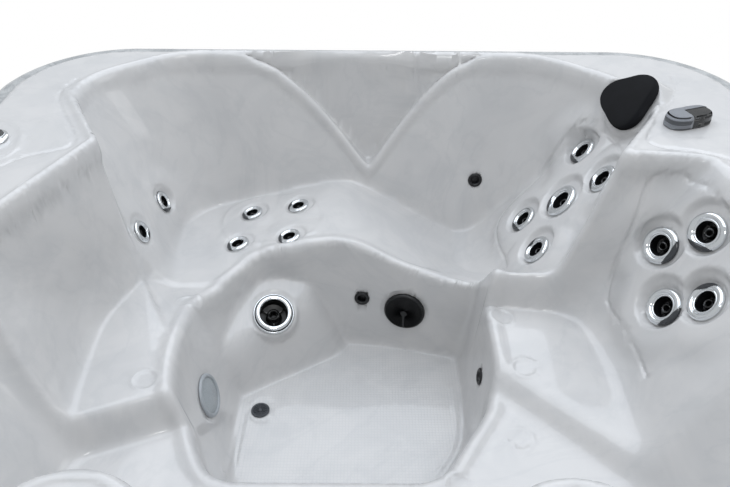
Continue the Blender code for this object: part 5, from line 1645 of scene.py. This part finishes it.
@dataclass
class DiverterHandle:
    """The diverter's handle: a grey cap with a glossy black grip let into one end."""

    frame: Matrix
    length: float = 0.130
    width: float = 0.066
    height: float = 0.034
    power: float = 2.8
    turn: float = 200.0
    grip_start: float = -0.012
    grip_side: float = 0.010
    seam: float = 0.0004
    grip_sink: float = 0.0012
    seat_radius: float = 0.069

    def body(self, draw_in: float) -> bmesh.types.BMesh:
        """Return the whole handle, drawn in all round by a small length.

        Args:
            draw_in: the length.

        Returns:
            The closed mesh.
        """
        outline = rounded_loop(self.length / 2.0, self.width / 2.0, self.power, 64)
        sections = [(0.0020, 0.0), (0.0004, 0.0015), (0.0, 0.006), (0.0006, 0.020), (0.0022, 0.0275),
                    (0.0052, 0.0316), (0.0095, 0.0334), (0.018, 0.0342)]
        return lofted(outline, [(inset + draw_in, height - draw_in * (height > 0.0))
                                for inset, height in sections], True)

    def kept(self, shape: bmesh.types.BMesh, place: tuple[float, float],
             side: tuple[float, float]) -> bmesh.types.BMesh:
        """Cut a closed shape by an upright plane and keep the side that it points to.

        Args:
            shape: the closed mesh.
            place: a plan point on the plane.
            side: the plan direction of the side that stays.

        Returns:
            The mesh, closed again.
        """
        geometry = list(shape.verts) + list(shape.edges) + list(shape.faces)
        cut = bmesh.ops.bisect_plane(shape, geom=geometry, plane_co=(*place, 0.0),
                                     plane_no=(-side[0], -side[1], 0.0), clear_outer=True)
        edges = [item for item in cut["geom_cut"] if isinstance(item, bmesh.types.BMEdge)]
        bmesh.ops.holes_fill(shape, edges=edges, sides=0)
        bmesh.ops.recalc_face_normals(shape, faces=shape.faces)
        return shape

    def build(self) -> None:
        """Add the cap in two parts and the grip that is let into it."""
        place = lifted(self.frame @ Matrix.Rotation(math.radians(self.turn), 4, "Z"))
        start, side = self.grip_start, self.grip_side
        head = self.kept(self.body(0.0), (start, 0.0), (-1.0, 0.0))
        settle("diverter_cap", head, [CAP_ABS], "diverter_handle", ["diverter_handle"], place)
        back = self.kept(self.body(0.0), (start, 0.0), (1.0, 0.0))
        back = self.kept(back, (0.0, side), (0.0, 1.0))
        settle("diverter_cap_back", back, [CAP_ABS], "diverter_handle", (), place)
        grip = self.kept(self.body(self.grip_sink), (start + self.seam, 0.0), (1.0, 0.0))
        grip = self.kept(grip, (0.0, side - self.seam), (0.0, -1.0))
        settle("diverter_grip", grip, [GLOSS_BLACK], "diverter_handle", (), place)


@dataclass
class TopsideControl:
    """The control on the left deck: a chromed frame, a dark face and three rubber buttons."""

    frame: Matrix
    length: float = 0.110
    width: float = 0.060
    height: float = 0.014
    power: float = 3.2
    button_radius: float = 0.009
    pitch_share: float = 0.27
    face_inset: float = 0.0068
    seat_radius: float = 0.058

    def build(self) -> None:
        """Add the frame, the face with its window, and the buttons."""
        place = lifted(self.frame)
        outline = rounded_loop(self.length / 2.0, self.width / 2.0, self.power, 64)
        sections = [(0.0010, 0.0), (0.0, 0.0012), (0.0, 0.0085), (0.0009, 0.0112), (0.0026, 0.0130),
                    (0.0046, 0.0136), (0.0062, 0.0130), (0.0066, 0.0118)]
        shape = lofted(outline, sections, True)
        for face in shape.faces:
            middle = face.calc_center_median()
            spot = Vector((middle.x / (self.length / 2.0 - self.face_inset),
                           middle.y / (self.width / 2.0 - self.face_inset)))
            if middle.z > 0.0113 and (abs(spot.x) ** self.power + abs(spot.y) ** self.power) < 1.0:
                face.material_index = 1
        settle("topside_plate", shape, [CHROME, SMOKED], "tub", ["topside_panel"], place)
        for number in range(3):
            name = f"topside_button_{number + 1}"
            offset = Matrix.Translation(((number - 1) * self.length * self.pitch_share, 0.0, 0.0))
            cap = eased_profile([(0.0, 0.0118), (0.93, 0.0118), (1.0, 0.0124), (0.98, 0.0150), (0.86, 0.0160),
                                 (0.55, 0.0157), (0.0, 0.0153)], 1.0, 1)
            profile = [(min(radius, 1.0) * self.button_radius, height) for radius, height in cap]
            settle(f"{name}_cap", spun(profile, 40), [RUBBER], name, [name],
                   self.frame @ offset)


@dataclass
class FilterLid:
    """The filter's lid: a grey disc with a finger recess and a ring of grip ribs."""

    frame: Matrix
    radius: float = 0.085
    thickness: float = 0.013
    ribs: int = 48

    def build(self) -> None:
        """Add the lid."""
        section = [(0.0, 0.0), (0.985, 0.0), (1.0, 0.02), (1.0, 0.095), (0.97, 0.14), (0.90, 0.152),
                   (0.86, 0.148), (0.84, 0.120), (0.60, 0.118), (0.57, 0.145), (0.30, 0.150), (0.26, 0.120),
                   (0.10, 0.115), (0.0, 0.115)]
        shape = spun([(r * self.radius, h * self.radius) for r, h in section], 96)
        grips = [face for face in shape.faces
                 if 0.60 < face.calc_center_median().xy.length / self.radius < 0.84
                 and face.calc_center_median().z > 0.08 * self.radius
                 and int(math.atan2(face.calc_center_median().y, face.calc_center_median().x)
                         / TAU * 96.0 + 96.0) % 2 == 0]
        bmesh.ops.inset_individual(shape, faces=grips, thickness=0.0006, depth=0.0016)
        settle("filter_lid_disc", shape, [DARK_ABS], "filter_lid", ["filter_lid"],
               lifted(self.frame))


# Cabinet and equipment

@dataclass
class Cabinet:
    """The cladding: boards, corner panels, frame and pan, with the screws that hold the boards."""

    half: float = 1.065
    inset: float = 0.015
    screw_radius: float = 0.0065
    screw_places: tuple[float, ...] = (-0.66, -0.22, 0.22, 0.66)
    screw_heights: tuple[float, ...] = (0.075, 0.775)

    def build(self) -> None:
        """Finish the carried-over pieces and add the screws."""
        for name in frame["nodes"]:
            if name.startswith(("side_panel_", "corner_panel_", "base_pan")):
                dress(name, BOARD)
        dress("frame", ZINC)
        profile = eased_profile([(0.0, 0.0), (1.0, 0.0), (1.0, 0.10), (0.80, 0.34), (0.34, 0.42),
                                 (0.30, 0.22), (0.0, 0.20)], self.screw_radius)
        shape = bmesh.new()
        for quarter in range(4):
            turn = Matrix.Rotation(quarter * math.pi / 2.0, 4, "Z")
            for along in self.screw_places:
                for height in self.screw_heights:
                    one = spun(profile, 20)
                    place = turn @ Matrix.Translation((along, self.inset - self.half - GAP, height))
                    one.transform(place @ Matrix.Rotation(math.pi / 2.0, 4, "X"))
                    mesh = bpy.data.meshes.new("screw")
                    one.to_mesh(mesh)
                    one.free()
                    shape.from_mesh(mesh)
                    bpy.data.meshes.remove(mesh)
        settle("cabinet_screws", shape, [STAINLESS], "tub", ())


def dress(name: str, finish: Finish) -> None:
    """Give a carried-over solid a finish.

    Args:
        name: the solid's node.
        finish: its finish.
    """
    mesh = frame["nodes"][name].data
    mesh.materials.clear()
    mesh.materials.append(finish.material())


@dataclass
class Plumbing:
    """The equipment and pipework behind the cladding, which keeps its solids."""

    finishes: tuple[tuple[str, Finish], ...] = (
        ("manifold", PIPE_PVC), ("_body", PIPE_PVC), ("_housing", PIPE_PVC), ("_pipe", PIPE_PVC),
        ("_hose", PIPE_PVC), ("diverter_valve", PIPE_PVC), ("filter_cartridge", PAPER),
        ("pump_wet_end", BLACK_ABS), ("pump_motor", ZINC), ("heater_tube", ZINC),
        ("control_box", DARK_ABS))

    def build(self) -> None:
        """Give every piece its finish."""
        for name in frame["nodes"]:
            for word, finish in self.finishes:
                if word in name:
                    dress(name, finish)
                    LOG.info("%s dressed as %s", name, finish.name)
                    break


# The studio

@dataclass
class Studio:
    """A pale floor, soft lamps from above and the camera of the photograph."""

    place: tuple[float, float, float] = (-0.022, -1.069, 1.746)
    pitch: float = 37.4
    roll: float = 0.45
    focal_pixels: float = 700.0
    image_width: float = 730.0
    clip_end: float = 100.0
    floor_size: float = 30.0
    floor_colour: str = "#e6e7e8"
    floor_roughness: float = 0.9
    floor_fade: tuple[float, float] = (1.7, 3.4)
    ambient: float = 0.60
    ambient_colour: tuple[float, float, float, float] = (0.95, 0.975, 1.0, 1.0)
    lamps: tuple[tuple, ...] = (
        ("overhead_softbox", (0.10, 1.05, 3.3), (0.0, 0.30, 0.4), 4.2, 91.0, "#eef5ff"),
        ("front_spot", (0.4, -2.0, 3.3), (0.0, 0.2, 0.4), 0.55, 9.0, "#ffffff"),
        ("side_softbox", (3.0, 0.4, 2.2), (-0.6, 0.3, 0.6), 1.6, 10.0, "#ffffff"))

    def floor(self) -> None:
        """Add the floor, which shows white where it is far from the tub."""
        shape = bmesh.new()
        bmesh.ops.create_grid(shape, x_segments=1, y_segments=1, size=self.floor_size)
        mesh = bpy.data.meshes.new("studio_floor")
        shape.to_mesh(mesh)
        shape.free()
        made = bpy.data.materials.new("studio_floor")
        made.use_nodes = True
        tree = made.node_tree
        paint = Paint(tree, tree.nodes["Principled BSDF"])
        paint.shader.inputs["Base Color"].default_value = linear(self.floor_colour)
        paint.shader.inputs["Roughness"].default_value = self.floor_roughness
        place = paint.add("ShaderNodeTexCoord").outputs["Object"]
        far = paint.add("ShaderNodeVectorMath", {"operation": "LENGTH"}, {0: place})
        share = paint.add("ShaderNodeMapRange", {"interpolation_type": "SMOOTHSTEP"}, {
            "Value": far.outputs["Value"], "From Min": self.floor_fade[0], "From Max": self.floor_fade[1]})
        rays = paint.add("ShaderNodeLightPath")
        seen = paint.add("ShaderNodeMath", {"operation": "MAXIMUM"}, {
            0: rays.outputs["Is Camera Ray"], 1: rays.outputs["Is Glossy Ray"]})
        white = paint.add("ShaderNodeEmission", None, {"Color": (1.0, 1.0, 1.0, 1.0)})
        amount = paint.add("ShaderNodeMath", {"operation": "MULTIPLY"}, {
            0: share.outputs[0], 1: seen.outputs[0]})
        both = paint.add("ShaderNodeMixShader", None, {
            0: amount.outputs[0], 1: paint.shader.outputs[0], 2: white.outputs[0]})
        tree.links.new(both.outputs[0], tree.nodes["Material Output"].inputs["Surface"])
        mesh.materials.append(made)
        floor = bpy.data.objects.new("studio_floor", mesh)
        bpy.context.scene.collection.objects.link(floor)

    def world(self) -> None:
        """Add the even ambient light, seen as white."""
        world = bpy.data.worlds.new("studio")
        bpy.context.scene.world = world
        world.use_nodes = True
        paint = Paint(world.node_tree, world.node_tree.nodes["Background"])
        rays = paint.add("ShaderNodeLightPath")
        seen = paint.add("ShaderNodeMath", {"operation": "MAXIMUM"}, {
            0: rays.outputs["Is Camera Ray"], 1: rays.outputs["Is Transmission Ray"]})
        level = paint.add("ShaderNodeMapRange", None, {
            "Value": seen.outputs[0], "To Min": self.ambient, "To Max": 1.0})
        paint.shader.inputs["Color"].default_value = self.ambient_colour
        paint.link(level.outputs[0], "Strength")

    def lamp(self, name: str, place: tuple[float, float, float], aim: tuple[float, float, float],
             size: float, power: float, colour: str) -> None:
        """Add a square soft lamp that faces a point.

        Args:
            name: the lamp's name.
            place: where it hangs.
            aim: the point.
            size: its side in metres.
            power: its power in watts.
            colour: its colour as #rrggbb.
        """
        light = bpy.data.lights.new(name, "AREA")
        light.size = size
        light.energy = power
        light.color = linear(colour)[:3]
        lamp = bpy.data.objects.new(name, light)
        lamp.location = place
        lamp.rotation_euler = (Vector(place) - Vector(aim)).to_track_quat("Z", "Y").to_euler()
        bpy.context.scene.collection.objects.link(lamp)

    def camera(self) -> None:
        """Add the camera at the photograph's viewing angle."""
        data = bpy.data.cameras.new("photo_camera")
        data.sensor_fit = "HORIZONTAL"
        data.lens = self.focal_pixels * data.sensor_width / self.image_width
        data.clip_end = self.clip_end
        camera = bpy.data.objects.new("photo_camera", data)
        tilt = Matrix.Rotation(math.radians(90.0 - self.pitch), 4, "X")
        spin = Matrix.Rotation(math.radians(self.roll), 4, "Z")
        camera.matrix_world = Matrix.Translation(self.place) @ tilt @ spin
        bpy.context.scene.collection.objects.link(camera)
        bpy.context.scene.camera = camera

    def build(self) -> None:
        """Add everything in the studio."""
        bpy.context.scene.view_settings.view_transform = "Standard"
        self.floor()
        self.world()
        for lamp in self.lamps:
            self.lamp(*lamp)
        self.camera()


# The whole tub

@dataclass
class HotTub:
    """The tub as an assembly of its dressed sub-assemblies."""

    form: TubForm = field(default_factory=TubForm)
    jet_inserts: dict[str, float] = field(default_factory=lambda: {
        "jet_face_lounge_back_1": -78.0, "jet_face_lounge_back_2": -110.0, "jet_face_lounge_back_3": -118.0,
        "jet_face_lounge_back_4": -72.0, "jet_face_lounge_back_5": -160.0, "jet_face_right_seat_1": 0.0,
        "jet_face_right_seat_2": -82.0, "jet_face_right_seat_3": -8.0, "jet_face_right_seat_4": 150.0,
        "jet_face_calf_1": -60.0, "jet_face_calf_2": -100.0, "jet_face_calf_3": -80.0,
        "jet_face_calf_4": -70.0, "jet_face_foot_end_1": -120.0, "jet_face_foot_end_2": -60.0})
    radii: dict[str, float] = field(default_factory=lambda: {
        "lounge_back": 0.044, "calf": 0.034, "foot_end": 0.034, "right_seat": 0.048, "foot_dome": 0.062,
        "jet_face_lounge_back_3": 0.053})
    plain_insert: float = -80.0
    nozzle_step: float = 37.0

    lifts: dict[str, float] = field(default_factory=lambda: {
        "lounge_back": 0.015, "right_seat": 0.017, "calf": 0.006, "foot_end": 0.005})
    outlet_places: dict[str, tuple[float, float]] = field(default_factory=lambda: {
        "outlet_footwell_back": (-0.03003, 0.52292), "outlet_footwell_side": (0.29309, 0.22599),
        "outlet_lounge_wall": (0.33697, 0.88395)})
    suction_place: tuple[float, float] = (0.09990, 0.49821)
    light_place: tuple[float, float] = (-0.43495, 0.16295)
    drain_place: tuple[float, float] = (-0.31801, 0.23302)
    lid_place: tuple[float, float] = (-0.854982, -0.857964)
    lid_sink: float = 0.010
    pillow_place: tuple[float, float] = (0.716958, 0.725904)
    pillow_aim: tuple[float, float, float] = (-0.72, -0.30, 0.62)
    diverter_place: tuple[float, float] = (0.801945, 0.551031)
    topside_place: tuple[float, float] = (-0.951897, 0.437928)
    jet_well: float = 0.040
    outlet_well: float = 0.020
    cover_well: float = 0.002
    lid_well: float = 0.004
    outlet_reach: float = 0.0023
    suction_reach: float = 0.0062
    light_reach: float = 0.0059
    drain_reach: float = 0.0026
    pillow_reach: float = 0.078
    diverter_reach: float = 0.066
    topside_reach: float = 0.060
    upright: tuple[float, float, float] = (0.0, 0.0, 1.0)

    def group(self, name: str) -> str:
        """Return the group that a jet's name puts it in."""
        return name.removeprefix("jet_face_").rstrip("_12345")

    def jets(self) -> list[JetFace]:
        """Return the jets, each in the frame of its own joint.

        Returns:
            The jets in the order of the joints.
        """
        made = []
        for joint in frame["joints"]:
            name = joint["child"]
            if not name.startswith("jet_face_"):
                continue
            radius = self.radii.get(name) or self.radii[self.group(name)]
            style = JetStyle.WIDE if self.group(name) == "foot_dome" else JetStyle.NOZZLE
            made.append(JetFace(name, facing(joint["pos_m"], joint["axis"]), radius, style,
                                self.jet_inserts.get(name, self.plain_insert),
                                nozzle_turn=self.nozzle_step * len(made)))
        return made

    def build(self) -> None:
        """Build every piece in order."""
        form = self.form
        jets = self.jets()
        fittings = [ShellFitting(jet.frame, jet.radius, self.jet_well,
                                 self.lifts.get(self.group(jet.name), 0.0)) for jet in jets]
        outlets = [WaterOutlet(name, form.seat_frame(place, self.outlet_reach))
                   for name, place in self.outlet_places.items()]
        suction = SuctionCover(form.seat_frame(self.suction_place, self.suction_reach))
        light = FootwellLight(form.seat_frame(self.light_place, self.light_reach))
        drain = FloorDrain(form.seat_frame(self.drain_place, self.drain_reach))
        lid = FilterLid(Matrix.Translation((*self.lid_place, form.rim - self.lid_sink)))
        pillow = HeadPillow(form.seat_frame(self.pillow_place, self.pillow_reach, self.pillow_aim))
        diverter = DiverterHandle(form.seat_frame(self.diverter_place, self.diverter_reach, self.upright))
        topside = TopsideControl(form.seat_frame(self.topside_place, self.topside_reach, self.upright))
        seated = [(outlet, outlet.radius, self.outlet_well) for outlet in outlets]
        seated += [(cover, cover.radius, self.cover_well) for cover in (suction, light, drain)]
        seated += [(lid, lid.radius, self.lid_well), (pillow, pillow.radius, 0.0),
                   (diverter, diverter.seat_radius, 0.0), (topside, topside.seat_radius, 0.0)]
        fittings += [ShellFitting(piece.frame, radius, well) for piece, radius, well in seated]
        MouldedShell(form, fittings, drain_place=self.drain_place).build()
        for piece in (*jets, *outlets, suction, light, drain, pillow, diverter, topside, lid, Cabinet(),
                      Plumbing()):
            piece.build()


def main() -> None:
    """Build the tub and the studio round it."""
    logging.basicConfig(level=logging.INFO, format="%(name)s: %(message)s")
    HotTub().build()
    Studio().build()


if __name__ == "__main__":
    main()
